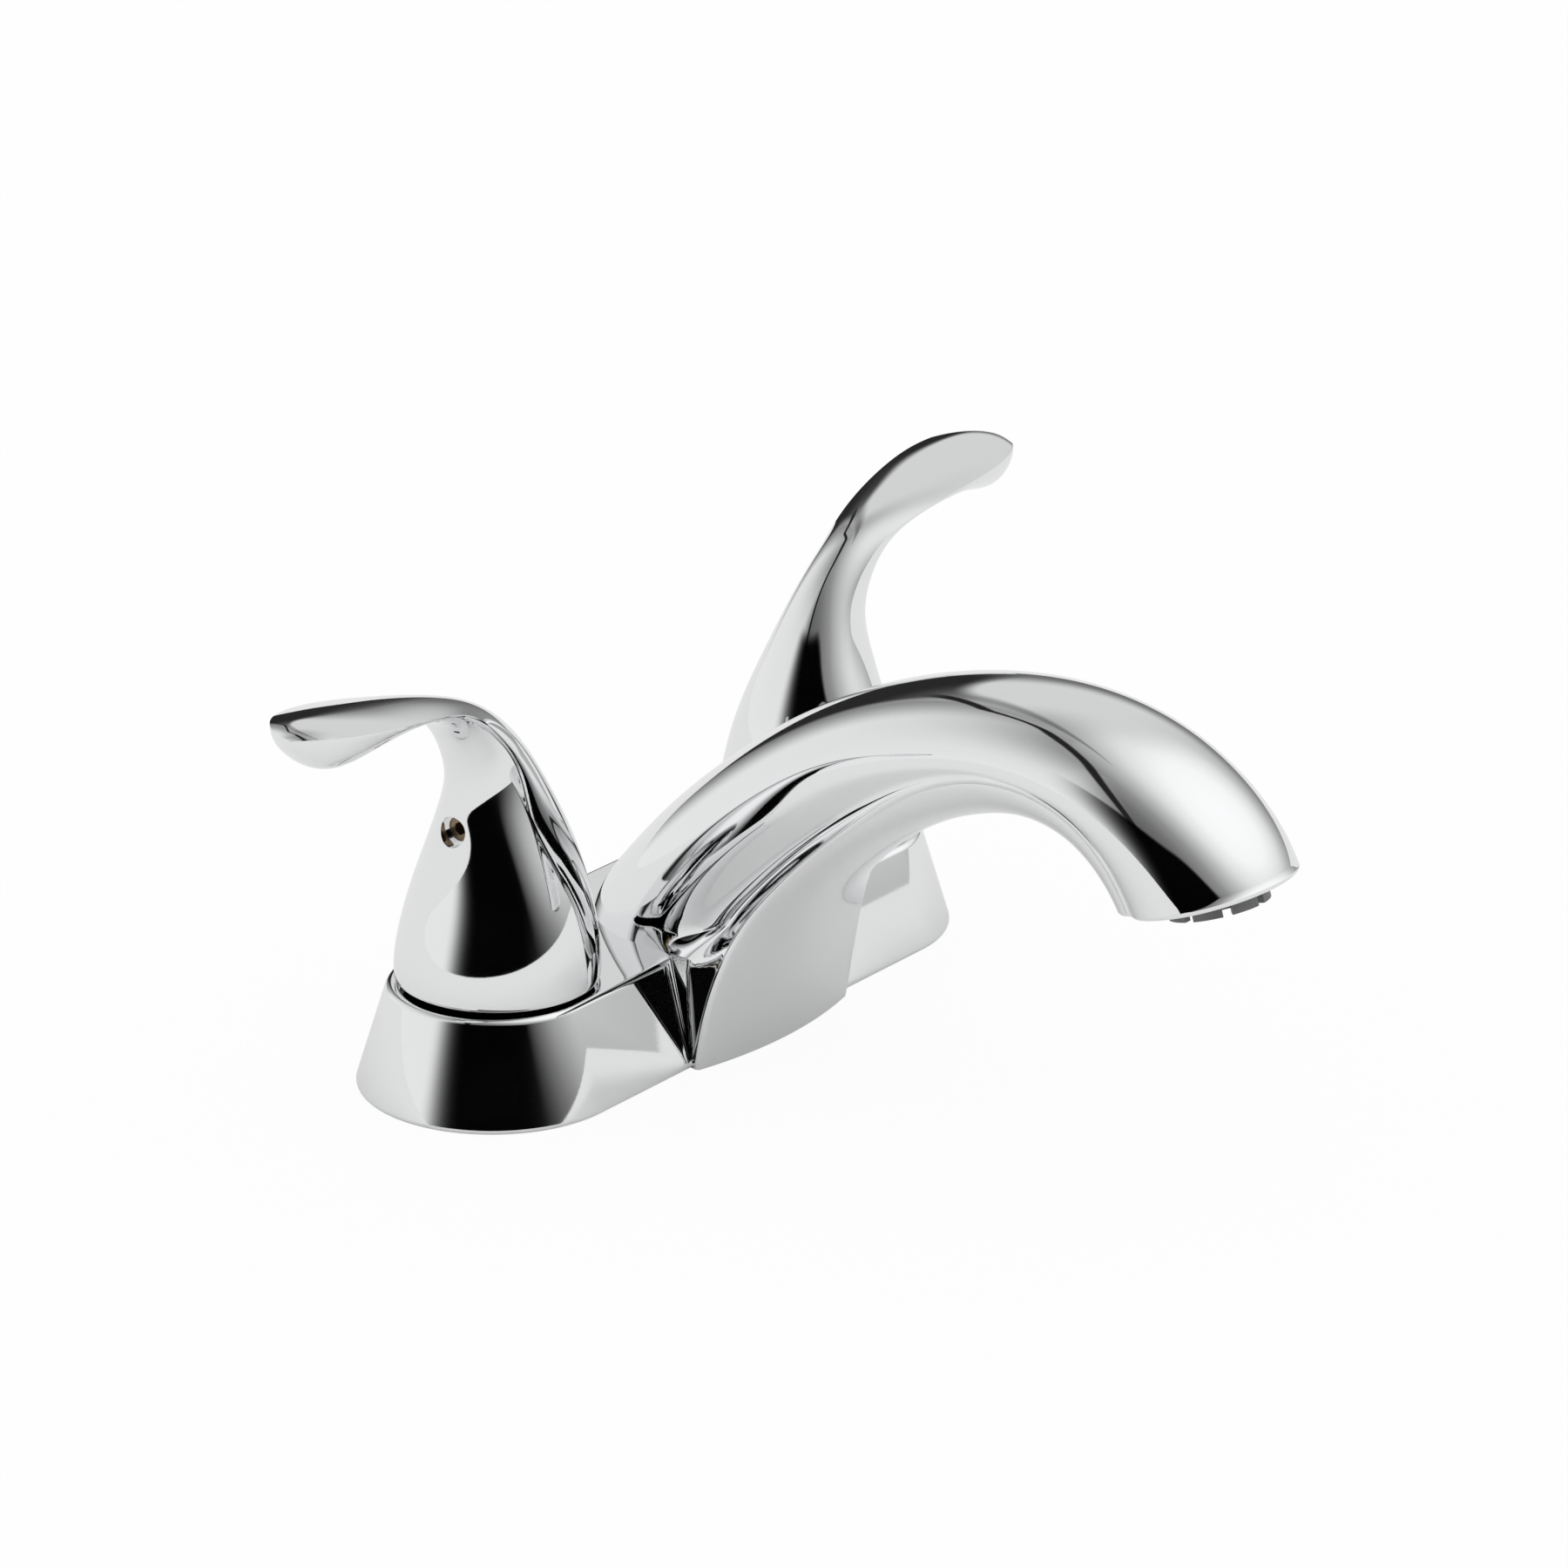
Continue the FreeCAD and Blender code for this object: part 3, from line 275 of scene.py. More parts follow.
def spout_rows(station, along, across):
    """The six strips of one station, in order round the section."""
    panel, upward = spout_frame(station)[1:3]

    def place(points, side):
        return [panel + upward * point[1] + np.array([side * point[0], 0, 0]) for point in points]

    crown, flank, lip, belly = spout_half(station, along, across)
    return [
        place(crown[::-1], -1) + place(crown[1:], 1),
        place(flank, 1),
        place(lip, 1),
        place(belly, 1) + place(belly[-2::-1], -1),
        place(lip[::-1], -1),
        place(flank[::-1], -1),
    ]


def scooped(grid, side, depth, along):
    """A fine flank, crease to lip, with its scoop, which ends in a round bowl above the base."""
    height = np.arange(len(grid))[:, None] / along
    share = np.linspace(0, 1, grid.shape[1])[None, :]
    start, slope, bend = SCOOP_START
    above = (height - start - slope * share - bend * share * share) / SCOOP_END_LENGTH
    bowl = np.sin(np.clip(above, 0, 1) * math.pi / 2)
    grid[..., 0] -= side * depth[:, None] * bowl * SCOOP_SCALE * share ** 2 * (1 - share)
    return grid


def spout_grid(along, across):
    """The spout's fine skin, foot to outlet, one closed ring to each row."""
    fine = smooth_through([[*row[0], *row[1], *row[2:]] for row in SPOUT], along)
    stations = []
    for index, row in enumerate(fine):
        stations.append(spout_rows((row[:2], row[2:4], *row[4:]), index / (len(fine) - 1), across))
    grids = []
    for strip in range(6):
        grid = np.array([rows[strip] for rows in stations])
        if strip == 1:
            grid = scooped(grid, 1, fine[:, -1], along)
        if strip == 5:
            grid = scooped(grid[:, ::-1], -1, fine[:, -1], along)[:, ::-1]
        grids.append(grid[:, :-1])
    return np.concatenate(grids, axis=1)


# Handles

def handle_rows(station):
    """Blade side and under side of one station of the handle, pointing along +X."""
    out, rise, tilt, half, blade, under = station
    tilt = math.radians(tilt)
    middle = np.array([out, 0, rise])
    inner = np.array([-math.sin(tilt), 0, math.cos(tilt)])

    def place(across, depth):
        return middle + np.array([0, across, 0]) + inner * depth

    radius = (half * half + blade * blade) / (2 * blade)
    sweep = math.asin(min(1.0, half / radius))
    top, low = [], []
    for step in range(9):
        share = step / 4 - 1
        angle = share * sweep
        top.append(place(radius * math.sin(angle), radius * math.cos(angle) - radius + blade))
        angle = share * math.pi / 2
        low.append(place(-half * math.sin(angle), -under * math.cos(angle)))
    return [top, low]


# Meshes

def closed_skin(strips, along, across):
    """A grid of points, one closed ring to each row, from strips side by side."""
    grids = [smooth_grid(rows, along, across)[:, :-1] for rows in strips]
    return np.concatenate(grids, axis=1)


def softened(grid, radius, steps=6):
    """The grid with its last ring turned in over a small round edge."""
    ring = grid[-1]
    middle = ring.mean(axis=0)
    after = np.roll(ring, -1, axis=0)
    along = after - np.roll(ring, 1, axis=0)
    along /= np.linalg.norm(along, axis=1)[:, None]
    area = np.cross(ring - middle, after - middle).sum(axis=0)
    ahead = area / np.linalg.norm(area)
    if np.dot(ahead, (ring - grid[-2]).mean(axis=0)) < 0:
        ahead = -ahead
    inward = np.cross(along, ahead)
    if np.einsum("ij,ij->i", inward, middle - ring).mean() < 0:
        inward = -inward
    rows = list(grid[:-1])
    for step in range(steps + 1):
        angle = math.pi / 2 * step / steps
        rows.append(ring - ahead * radius * (1 - math.sin(angle)) + inward * radius * (1 - math.cos(angle)))
    return np.array(rows)


def skin_object(name, grid):
    """One closed mesh from a grid of rings, with a flat face at each end."""
    rows, columns = grid.shape[:2]
    faces = []
    for row in range(rows - 1):
        for column in range(columns):
            after = (column + 1) % columns
            faces.append((row * columns + column, row * columns + after,
                          (row + 1) * columns + after, (row + 1) * columns + column))
    faces.append(tuple(reversed(range(columns))))
    faces.append(tuple(range((rows - 1) * columns, rows * columns)))
    return mesh_object(name, grid.reshape(-1, 3), faces)


def mesh_object(name, points, faces):
    """A mesh object from points in millimetres, its faces turned outward."""
    mesh = bpy.data.meshes.new(name)
    mesh.from_pydata([tuple(point) for point in np.asarray(points, float) * MM], [], faces)
    work = bmesh.new()
    work.from_mesh(mesh)
    bmesh.ops.recalc_face_normals(work, faces=work.faces)
    work.to_mesh(mesh)
    work.free()
    obj = bpy.data.objects.new(name, mesh)
    bpy.context.scene.collection.objects.link(obj)
    return obj


def combine(obj, tool, operation):
    """Cut a tool away from a mesh or join it on, and drop the tool."""
    modifier = obj.modifiers.new("combine", "BOOLEAN")
    modifier.operation = operation
    modifier.solver = "EXACT"
    modifier.object = tool
    graph = bpy.context.evaluated_depsgraph_get()
    obj.data = bpy.data.meshes.new_from_object(obj.evaluated_get(graph))
    obj.modifiers.clear()
    bpy.data.objects.remove(tool)


def frustum(name, low_radius, high_radius, length, place=Matrix.Identity(4), steps=96):
    """A round tool from its own origin along its own Z, in millimetres."""
    points = []
    for radius, height in ((low_radius, 0), (high_radius, length)):
        for step in range(steps):
            angle = 2 * math.pi * step / steps
            points.append(place @ Vector((radius * math.cos(angle), radius * math.sin(angle), height)))
    faces = [(step, (step + 1) % steps, steps + (step + 1) % steps, steps + step)
             for step in range(steps)]
    faces.append(tuple(reversed(range(steps))))
    faces.append(tuple(range(steps, 2 * steps)))
    return mesh_object(name, points, faces)


def ring_of_corners(name, low, high):
    """A closed mesh between two outlines with as many points each."""
    count = len(low)
    faces = [(step, (step + 1) % count, count + (step + 1) % count, count + step)
             for step in range(count)]
    faces.append(tuple(reversed(range(count))))
    faces.append(tuple(range(count, 2 * count)))
    return mesh_object(name, list(low) + list(high), faces)


def finish_shading(obj, angle=32):
    """Smooth shading up to an edge angle."""
    obj.data.shade_smooth()
    obj.data.set_sharp_from_angle(angle=math.radians(angle))


def facing(x, y, z, direction):
    """A placement whose Z runs along a direction."""
    turn = Vector(direction).to_track_quat("Z", "Y").to_matrix().to_4x4()
    return Matrix.Translation((x, y, z)) @ turn


# Base

def fillet(before, corner, after, radius, steps=8):
    """Points of the round that replaces a corner."""
    before, corner, after = (np.array(point, float) for point in (before, corner, after))
    into = (before - corner) / np.linalg.norm(before - corner)
    out = (after - corner) / np.linalg.norm(after - corner)
    half = math.acos(float(np.dot(into, out))) / 2
    middle = corner + (into + out) / np.linalg.norm(into + out) * radius / math.sin(half)
    start = corner + into * radius / math.tan(half) - middle
    end = corner + out * radius / math.tan(half) - middle
    sweep = math.pi - 2 * half
    points = []
    for step in range(steps + 1):
        share = step / steps
        points.append(middle + (start * math.sin((1 - share) * sweep)
                                + end * math.sin(share * sweep)) / math.sin(sweep))
    return points


def stadium_solid(name, profile):
    """A closed stadium, from (inset, height) points up its wall."""
    run = HANDLE_SPACING / 2 + BASE_OVERHANG - BASE_WIDTH / 2
    steps = 96
    path = []
    for end in (1, -1):
        for step in range(steps + 1):
            angle = math.pi * step / steps - end * math.pi / 2
            path.append((end * run, math.cos(angle), math.sin(angle)))
    rows = []
    for inset, height in profile:
        reach = BASE_WIDTH / 2 - inset
        rows.append([(middle + reach * x, reach * y, height) for middle, x, y in path])
    return skin_object(name, np.array(rows))


def base_block():
    """The drafted base with its edges rounded."""
    foot = fillet((BASE_INSET, 0), (0, 0), (BASE_INSET, BASE_HEIGHT), BASE_FOOT_ROUND)
    top = fillet((0, 0), (BASE_INSET, BASE_HEIGHT), (BASE_WIDTH / 2, BASE_HEIGHT), BASE_ROUND)
    return stadium_solid("spout_and_base", foot + top)


def base_cavity():
    """The hollow under the base."""
    lean = BASE_INSET / BASE_HEIGHT
    height = BASE_HEIGHT - BASE_WALL
    return stadium_solid("base_cavity", [(BASE_WALL - 2 * lean, -2), (BASE_WALL + height * lean, height)])


def valley_tool(side):
    """The groove's side of the base's front wall, its end rounded off towards the spout."""
    outlines = []
    for height in (VALLEY_FLOOR, BASE_HEIGHT + CUT_ABOVE_VALLEY):
        share = height / BASE_HEIGHT
        end = VALLEY_FOOT - (VALLEY_FOOT - VALLEY_TOP) * share
        face = BASE_INSET * share - BASE_WIDTH / 2
        points = [(end, face - CUT_BEFORE_VALLEY)]
        for step in range(17):
            angle = math.radians(VALLEY_SWEEP) * step / 16
            points.append((end - VALLEY_ROUND * math.sin(angle),
                           face + VALLEY_ROUND * (1 - math.cos(angle))))
        points.append((VALLEY_END, points[-1][1]))
        points.append((VALLEY_END, face - CUT_BEFORE_VALLEY))
        outlines.append([(side * x, y, height) for x, y in points])
    return ring_of_corners("valley", *outlines)


def ridge_tool(side, skin):
    """The groove's side of the spout's root, behind a round ridge along the flat flank."""
    depth = VALLEY_ROUND * (1 - math.cos(math.radians(VALLEY_SWEEP))) + RIDGE_OVERLAP
    near = skin[skin[:, 0] * side > 0]
    outlines = []
    for step in range(9):
        height = VALLEY_FLOOR + (BASE_HEIGHT + CUT_ABOVE_RIDGE - VALLEY_FLOOR) * step / 8
        face = BASE_INSET * height / BASE_HEIGHT - BASE_WIDTH / 2
        ridge = RIDGE_FOOT + RIDGE_LEAN * height
        half = abs(near[np.argmin((near[:, 1] - ridge) ** 2 + (near[:, 2] - height) ** 2), 0])
        points = [(half + CUT_BESIDE_RIDGE, ridge)]
        for turn in range(13):
            angle = math.pi / 2 * turn / 12
            points.append((half - RIDGE_ROUND * (1 - math.cos(angle)),
                           ridge + RIDGE_ROUND * math.sin(angle)))
        points.append((VALLEY_END, points[-1][1]))
        points.append((VALLEY_END, face + depth))
        points.append((half + CUT_BESIDE_RIDGE, face + depth))
        outlines.append([(side * x, y, height) for x, y in points])
    return skin_object("ridge", np.array(outlines))


# Spout and base in one

def block(name, low, high):
    """A plain box as a tool, from its lowest to its highest corner."""
    corners = [(low[0], low[1]), (high[0], low[1]), (high[0], high[1]), (low[0], high[1])]
    return ring_of_corners(name, *([(x, y, height) for x, y in corners] for height in (low[2], high[2])))


def outlet_frame():
    """Middle of the outlet and the direction in which the water leaves."""
    crown, panel, across = spout_frame(SPOUT[-1])[:3]
    middle = (crown + panel) / 2 + across * OUTLET_FORWARD
    return Vector(middle), Vector((0, -across[2], across[1]))


def casting():
    """The finished casting with its openings."""
    body = base_block()
    for side in SIDES.values():
        combine(body, valley_tool(side), "DIFFERENCE")
    skin = spout_grid(*SPOUT_STEPS)
    arm = skin_object("arm", softened(skin, OUTLET_ROUND))
    combine(arm, block("below", (-FAR, -FAR, -FAR), (FAR, FAR, 0)), "DIFFERENCE")
    for side in SIDES.values():
        combine(arm, ridge_tool(side, skin.reshape(-1, 3)), "DIFFERENCE")
    combine(body, arm, "UNION")
    hollow = base_cavity()
    half = VALLEY_FOOT + BASE_WALL
    back = BASE_INSET + WEB_DEPTH - BASE_WIDTH / 2
    combine(hollow, block("web", (-half, -FAR, -FAR), (half, back, FAR)), "DIFFERENCE")
    combine(body, hollow, "DIFFERENCE")
    foot, length = VALVE_HOLE_CUT
    for side in SIDES.values():
        place = Matrix.Translation((side * HANDLE_SPACING / 2, 0, foot))
        combine(body, frustum("hole", VALVE_HOLE_RADIUS, VALVE_HOLE_RADIUS, length, place), "DIFFERENCE")
    middle, away = outlet_frame()
    start = middle + away * CUT_PAST_OUTLET
    radius = AERATOR_RADIUS + AERATOR_GAP
    length = AERATOR_POCKET_DEPTH + CUT_PAST_OUTLET
    combine(body, frustum("pocket", radius, radius, length, facing(*start, -away)), "DIFFERENCE")
    finish_shading(body)
    return body


# Handles

def handle(side, name):
    """Bell-shaped handle with its lever, hollow from below, and the set screw's hole."""
    rows = [handle_rows(station) for station in HANDLE]
    strips = [[station[strip] for station in rows] for strip in (0, 1)]
    grid = closed_skin(strips, *HANDLE_STEPS)[::-1]
    body = skin_object(f"{name}_handle_skin", softened(grid, SKIRT_ROUND))
    cavity = frustum("cavity", CAVITY_FOOT_RADIUS, CAVITY_TOP_RADIUS, CAVITY_HEIGHT + CUT_BELOW_SKIRT,
                     Matrix.Translation((0, 0, -CUT_BELOW_SKIRT)))
    combine(body, cavity, "DIFFERENCE")
    combine(body, frustum("bore", STEM_BORE_RADIUS, STEM_BORE_RADIUS, STEM_BORE_HEIGHT), "DIFFERENCE")
    outward = (1, 0, 0)
    pocket = frustum("pocket", SCREW_POCKET_RADIUS, SCREW_POCKET_RADIUS, CUT_PAST_POCKET,
                     facing(SCREW_POCKET_FLOOR, 0, SCREW_HEIGHT, outward), 64)
    combine(body, pocket, "DIFFERENCE")
    tapped = frustum("tapped", SCREW_THREAD_RADIUS, SCREW_THREAD_RADIUS, SCREW_THREAD_END,
                     facing(0, 0, SCREW_HEIGHT, outward), 64)
    combine(body, tapped, "DIFFERENCE")
    turn = Matrix.Rotation(0 if side > 0 else math.pi, 4, "Z")
    place = Matrix.Translation(Vector((side * HANDLE_SPACING / 2, 0, BASE_HEIGHT + DOME_GAP)) * MM)
    body.data.transform(place @ turn)
    finish_shading(body)
    return body


# Materials

class Paint:
    """A material and the nodes that are added to it one by one."""

    def __init__(self, name):
        self.material = bpy.data.materials.new(name)
        self.material.use_nodes = True
        self.tree = self.material.node_tree
        self.shader = self.tree.nodes["Principled BSDF"]
        coordinates = self.tree.nodes.new("ShaderNodeTexCoord")
        self.where = coordinates.outputs["Object"]

    def set(self, **values):
        """Plain values on the shader's own sockets."""
        for name, value in values.items():
            self.shader.inputs[name.replace("_", " ")].default_value = value
        return self

    def noise(self, scale, detail=4.0):
        """Noise at a number of cells to the metre."""
        node = self.tree.nodes.new("ShaderNodeTexNoise")
        node.inputs["Scale"].default_value = scale
        node.inputs["Detail"].default_value = detail
        self.tree.links.new(self.where, node.inputs["Vector"])
        return node.outputs["Fac"]

    def spread(self, value, low, high, start=0.3, end=0.7):
        """A value laid out between two numbers."""
        node = self.tree.nodes.new("ShaderNodeMapRange")
        node.inputs["From Min"].default_value = start
        node.inputs["From Max"].default_value = end
        node.inputs["To Min"].default_value = low
        node.inputs["To Max"].default_value = high
        self.tree.links.new(value, node.inputs["Value"])
        return node.outputs["Result"]

    def roughness(self, value):
        """Roughness from a node's output."""
        self.tree.links.new(value, self.shader.inputs["Roughness"])
        return self

    def tint(self, value, dark, light):
        """Colour between two, by a node's output."""
        node = self.tree.nodes.new("ShaderNodeValToRGB")
        node.color_ramp.elements[0].position = 0.35
        node.color_ramp.elements[1].position = 0.65
        node.color_ramp.elements[0].color = (*dark, 1)
        node.color_ramp.elements[1].color = (*light, 1)
        self.tree.links.new(value, node.inputs["Fac"])
        self.tree.links.new(node.outputs["Color"], self.shader.inputs["Base Color"])
        return self

    def bump(self, value, depth, strength=1.0):
        """Relief from a node's output, as deep as a number of metres."""
        node = self.tree.nodes.new("ShaderNodeBump")
        node.inputs["Distance"].default_value = depth
        node.inputs["Strength"].default_value = strength
        self.tree.links.new(value, node.inputs["Height"])
        before = self.shader.inputs["Normal"]
        if before.is_linked:
            self.tree.links.new(before.links[0].from_socket, node.inputs["Normal"])
        self.tree.links.new(node.outputs["Normal"], before)
        return self

    def threads(self, pitch, below):
        """A height that goes up and down with Z, only under a level."""
        parts = self.tree.nodes.new("ShaderNodeSeparateXYZ")
        self.tree.links.new(self.where, parts.inputs["Vector"])
        wave = self.tree.nodes.new("ShaderNodeMath")
        wave.operation = "PINGPONG"
        wave.inputs[1].default_value = pitch / 2
        self.tree.links.new(parts.outputs["Z"], wave.inputs[0])
        under = self.tree.nodes.new("ShaderNodeMath")
        under.operation = "LESS_THAN"
        under.inputs[1].default_value = below
        self.tree.links.new(parts.outputs["Z"], under.inputs[0])
        both = self.tree.nodes.new("ShaderNodeMath")
        both.operation = "MULTIPLY"
        self.tree.links.new(wave.outputs[0], both.inputs[0])
        self.tree.links.new(under.outputs[0], both.inputs[1])
        return self.spread(both.outputs[0], 0.0, 1.0, 0.0, pitch / 2)


def chrome():
    """Bright plated finish with the faintest waviness and haze."""
    paint = Paint("chrome").set(Base_Color=(0.86, 0.865, 0.87, 1), Metallic=1.0)
    paint.roughness(paint.spread(paint.noise(60), 0.022, 0.045))
    paint.bump(paint.noise(38, 1.0), 0.00004, 0.25)
    return paint.bump(paint.noise(2600), 0.000002, 0.3).material


def metal(name, dark, light, low, high, relief):
    """A bare metal with a worked surface."""
    paint = Paint(name).set(Metallic=1.0)
    paint.tint(paint.noise(110), dark, light)
    paint.roughness(paint.spread(paint.noise(420), low, high))
    return paint.bump(paint.noise(1500), relief, 0.6)


def moulded(name, dark, light, low, high, relief):
    """A moulded plastic or rubber with a fine skin."""
    paint = Paint(name)
    paint.tint(paint.noise(90), dark, light)
    paint.roughness(paint.spread(paint.noise(700), low, high))
    return paint.bump(paint.noise(2400), relief, 0.7)


def finishes():
    """The material of each slot."""
    brass, threaded = (metal(name, (0.58, 0.40, 0.16), (0.74, 0.55, 0.27), 0.22, 0.40, 0.00002)
                       for name in ("brass", "threaded_brass"))
    threaded.bump(threaded.threads(THREAD_PITCH, THREAD_TOP), THREAD_DEPTH)
    return {
        "chrome": chrome(),
        "brass": brass.material,
        "threaded_brass": threaded.material,
        "steel": metal("steel", (0.42, 0.43, 0.44), (0.56, 0.57, 0.58), 0.22, 0.38, 0.00001).material,
        "bronzed_steel": metal("bronzed_steel", (0.20, 0.145, 0.095), (0.34, 0.255, 0.175),
                               0.28, 0.42, 0.00001).material,
        "rubber": moulded("rubber", (0.012, 0.012, 0.012), (0.028, 0.028, 0.03),
                          0.6, 0.8, 0.00003).material,
        "black_plastic": moulded("black_plastic", (0.015, 0.015, 0.016), (0.03, 0.03, 0.032),
                                 0.38, 0.55, 0.00002).material,
        "grey_plastic": moulded("grey_plastic", (0.10, 0.102, 0.105), (0.14, 0.142, 0.145),
                                0.32, 0.46, 0.00001).material,
        "white_plastic": moulded("white_plastic", (0.68, 0.68, 0.66), (0.76, 0.76, 0.74),
                                 0.35, 0.5, 0.00001).material,
        "stem_plastic": moulded("stem_plastic", (0.60, 0.58, 0.52), (0.68, 0.66, 0.60),
                                0.35, 0.5, 0.00001).material,
    }


SLOTS = {
    "deck_plate": "black_plastic",
    "spout_tee": "brass",
    "spout_riser": "brass",
    "aerator_housing": "grey_plastic",
    "aerator_insert": "white_plastic",
    "aerator_washer": "rubber",
    "valve_body": "threaded_brass",
    "seat": "rubber",
    "seat_spring": "steel",
    "stem": "stem_plastic",
    "stem_seal": "rubber",
    "thrust_washer": "white_plastic",
    "bonnet_nut": "brass",
    "set_screw": "bronzed_steel",
    "supply_tube": "brass",
    "mounting_nut": "black_plastic",
}


def dress(obj, material):
    """Give a mesh one material."""
    obj.data.materials.clear()
    obj.data.materials.append(material)


# Studio

# Levels of the lit and dark areas as they show, from 0 for black to 1 for white
SIDE_BOX_LEVEL = 0.81
WIDE_GAP_LEVEL = 0.17
THIN_GAP_LEVEL = 0.15
CARD_LEVEL = 0.035

# How a level becomes light: the display's gamma and the power of the lamps
DISPLAY_GAMMA = 2.2
LAMP_POWER = 1.156

# Areas in degrees of azimuth (round) and height (up): start, end and the softness of each
SIDE_BOX_ROUND = (102, 150, 24, 6)
SIDE_BOX_UP = (12, 54, 16, 24)
LEFT_BOX_ROUND = (-22, 88, 36, 36)
LEFT_BOX_UP = (-20, 74, 4, 3)

# Soft steps over degrees: start and end, then the value at each, 0 and 1 where none are given
WIDE_GAP_MIDDLE = (4, 34, 139, 146)
WIDE_GAP_HALF = (6, 34, 11, 3)
WIDE_GAP_FADE = (40, 14, 0.4, 1.0)
CARD_CREST = (-56, 16, 38.0, 2.0)
CARD_CREST_SOFT = (-24, -4, 5.0, 30.0)
CARD_LEFT_END = (-116, -76)
CARD_RIGHT_END = (45, -30)

# The right soft box: azimuth and height of its middle, and its level by nearness to that
RIGHT_BOX = (54, 45)
RIGHT_BOX_GLOW = [(0.0, 0.34), (0.35, 0.44), (0.55, 0.55), (0.72, 0.73),
                  (0.82, 0.86), (0.93, 0.96), (1.0, 0.98)]

# The left soft box: its level by height, from the horizon to straight above
LEFT_BOX_GLOW = [(0.0, 0.89), (0.27, 0.87), (0.40, 0.84), (0.53, 0.78), (0.67, 0.68), (0.78, 0.58)]

# The thin gap as seen from below, the horizon being a circle of radius 1: its slant, the two steps
# in it, its half width and soft edge, how it narrows to the right, and the heights in degrees
# at which it ends
THIN_GAP_SLANT = 0.45
THIN_GAP_LONG_STEP = (-0.28, 0.29, 0.23, 0.39)
THIN_GAP_SHORT_STEP = (0.10, 0.29, 0.0, 0.13)
THIN_GAP_HALF = 0.044
THIN_GAP_SOFT = 0.032
THIN_GAP_NARROWING = (0.0, 0.45, 1.0, 2.6)
THIN_GAP_FOOT = (21, 31)

# The floor: half its side and the hole round each shank in metres, its grey, and how white it shows
FLOOR_REACH = 3.0
FLOOR_HOLE_RADIUS = 0.0225
FLOOR_GREY = 0.84
FLOOR_WHITE = 0.94

# The camera: focal length in millimetres, place in metres, and azimuth, height and roll in degrees
CAMERA_LENS = 168.235
CAMERA_PLACE = (-1.0570, -0.8364, 0.5744)
CAMERA_ANGLES = (-52.68, 21.41, 0.44)


class Sky:
    """Light by direction, put together from soft-edged areas of azimuth and height."""

    def __init__(self):
        self.world = bpy.data.worlds.new("studio")
        bpy.context.scene.world = self.world
        self.world.use_nodes = True
        self.tree = self.world.node_tree
        self.tree.nodes.clear()
        coordinates = self.tree.nodes.new("ShaderNodeTexCoord")
        parts = self.tree.nodes.new("ShaderNodeSeparateXYZ")
        self.direction = coordinates.outputs["Generated"]
        self.tree.links.new(self.direction, parts.inputs["Vector"])
        x, y, z = (parts.outputs[axis] for axis in "XYZ")
        self.right, self.rear = x, y
        turn = 180 / math.pi
        self.height = self.math("MULTIPLY", self.math("ARCSINE", z), turn)
        front = self.math("ARCTAN2", x, self.math("MULTIPLY", y, -1.0))
        back = self.math("ARCTAN2", self.math("MULTIPLY", x, -1.0), y)
        self.front = self.math("MULTIPLY", front, turn)
        self.back = self.math("MULTIPLY", back, turn)

    def math(self, operation, first, second=None):
        """One step of arithmetic on outputs or numbers."""
        node = self.tree.nodes.new("ShaderNodeMath")
        node.operation = operation
        for socket, value in zip(node.inputs, (first, second)):
            if value is None:
                continue
            if isinstance(value, (int, float)):
                socket.default_value = value
            else:
                self.tree.links.new(value, socket)
        return node.outputs[0]

    def ramp(self, value, start, end, low=0.0, high=1.0):
        """A soft step of a value from low to high between two limits."""
        node = self.tree.nodes.new("ShaderNodeMapRange")
        node.interpolation_type = "SMOOTHSTEP"
        ends = (start, end, low, high) if start < end else (end, start, high, low)
        for name, number in zip(("From Min", "From Max", "To Min", "To Max"), ends):
            node.inputs[name].default_value = number
        self.tree.links.new(value, node.inputs["Value"])
        return node.outputs["Result"]

    def toward(self, azimuth, elevation):
        """How nearly the direction is a given one: 1 for the same, 0 and less from square on."""
        azimuth, elevation = math.radians(azimuth), math.radians(elevation)
        node = self.tree.nodes.new("ShaderNodeVectorMath")
        node.operation = "DOT_PRODUCT"
        node.inputs[1].default_value = (math.sin(azimuth) * math.cos(elevation),
                                        -math.cos(azimuth) * math.cos(elevation), math.sin(elevation))
        self.tree.links.new(self.direction, node.inputs[0])
        return node.outputs["Value"]

    def steps(self, value, stops):
        """A level that follows a value from stop to stop."""
        node = self.tree.nodes.new("ShaderNodeValToRGB")
        while len(node.color_ramp.elements) < len(stops):
            node.color_ramp.elements.new(1.0)
        for element, (position, level) in zip(node.color_ramp.elements, stops):
            element.position = position
            element.color = (level, level, level, 1)
        self.tree.links.new(value, node.inputs["Fac"])
        return node.outputs["Color"]

    def window(self, value, start, end, in_soft, out_soft):
        """One inside a span of a value and zero outside it, with soft ends."""
        into = self.ramp(value, start - in_soft / 2, start + in_soft / 2)
        out = self.ramp(value, end - out_soft / 2, end + out_soft / 2, 1.0, 0.0)
        return self.math("MULTIPLY", into, out)

    def area(self, level, mask, over):
        """Lay an area of a level of light over what is there."""
        change = self.math("SUBTRACT", level, over)
        return self.math("ADD", over, self.math("MULTIPLY", mask, change))

    def output(self, light):
        """Reflections see the studio, and all else plain white."""
        paths = self.tree.nodes.new("ShaderNodeLightPath")
        glow = self.math("MULTIPLY", self.math("POWER", light, DISPLAY_GAMMA), LAMP_POWER)
        seen = self.area(glow, paths.outputs["Is Glossy Ray"], 1.0)
        shader = self.tree.nodes.new("ShaderNodeBackground")
        shader.inputs["Color"].default_value = (1, 1, 1, 1)
        self.tree.links.new(seen, shader.inputs["Strength"])
        target = self.tree.nodes.new("ShaderNodeOutputWorld")
        self.tree.links.new(shader.outputs[0], target.inputs["Surface"])


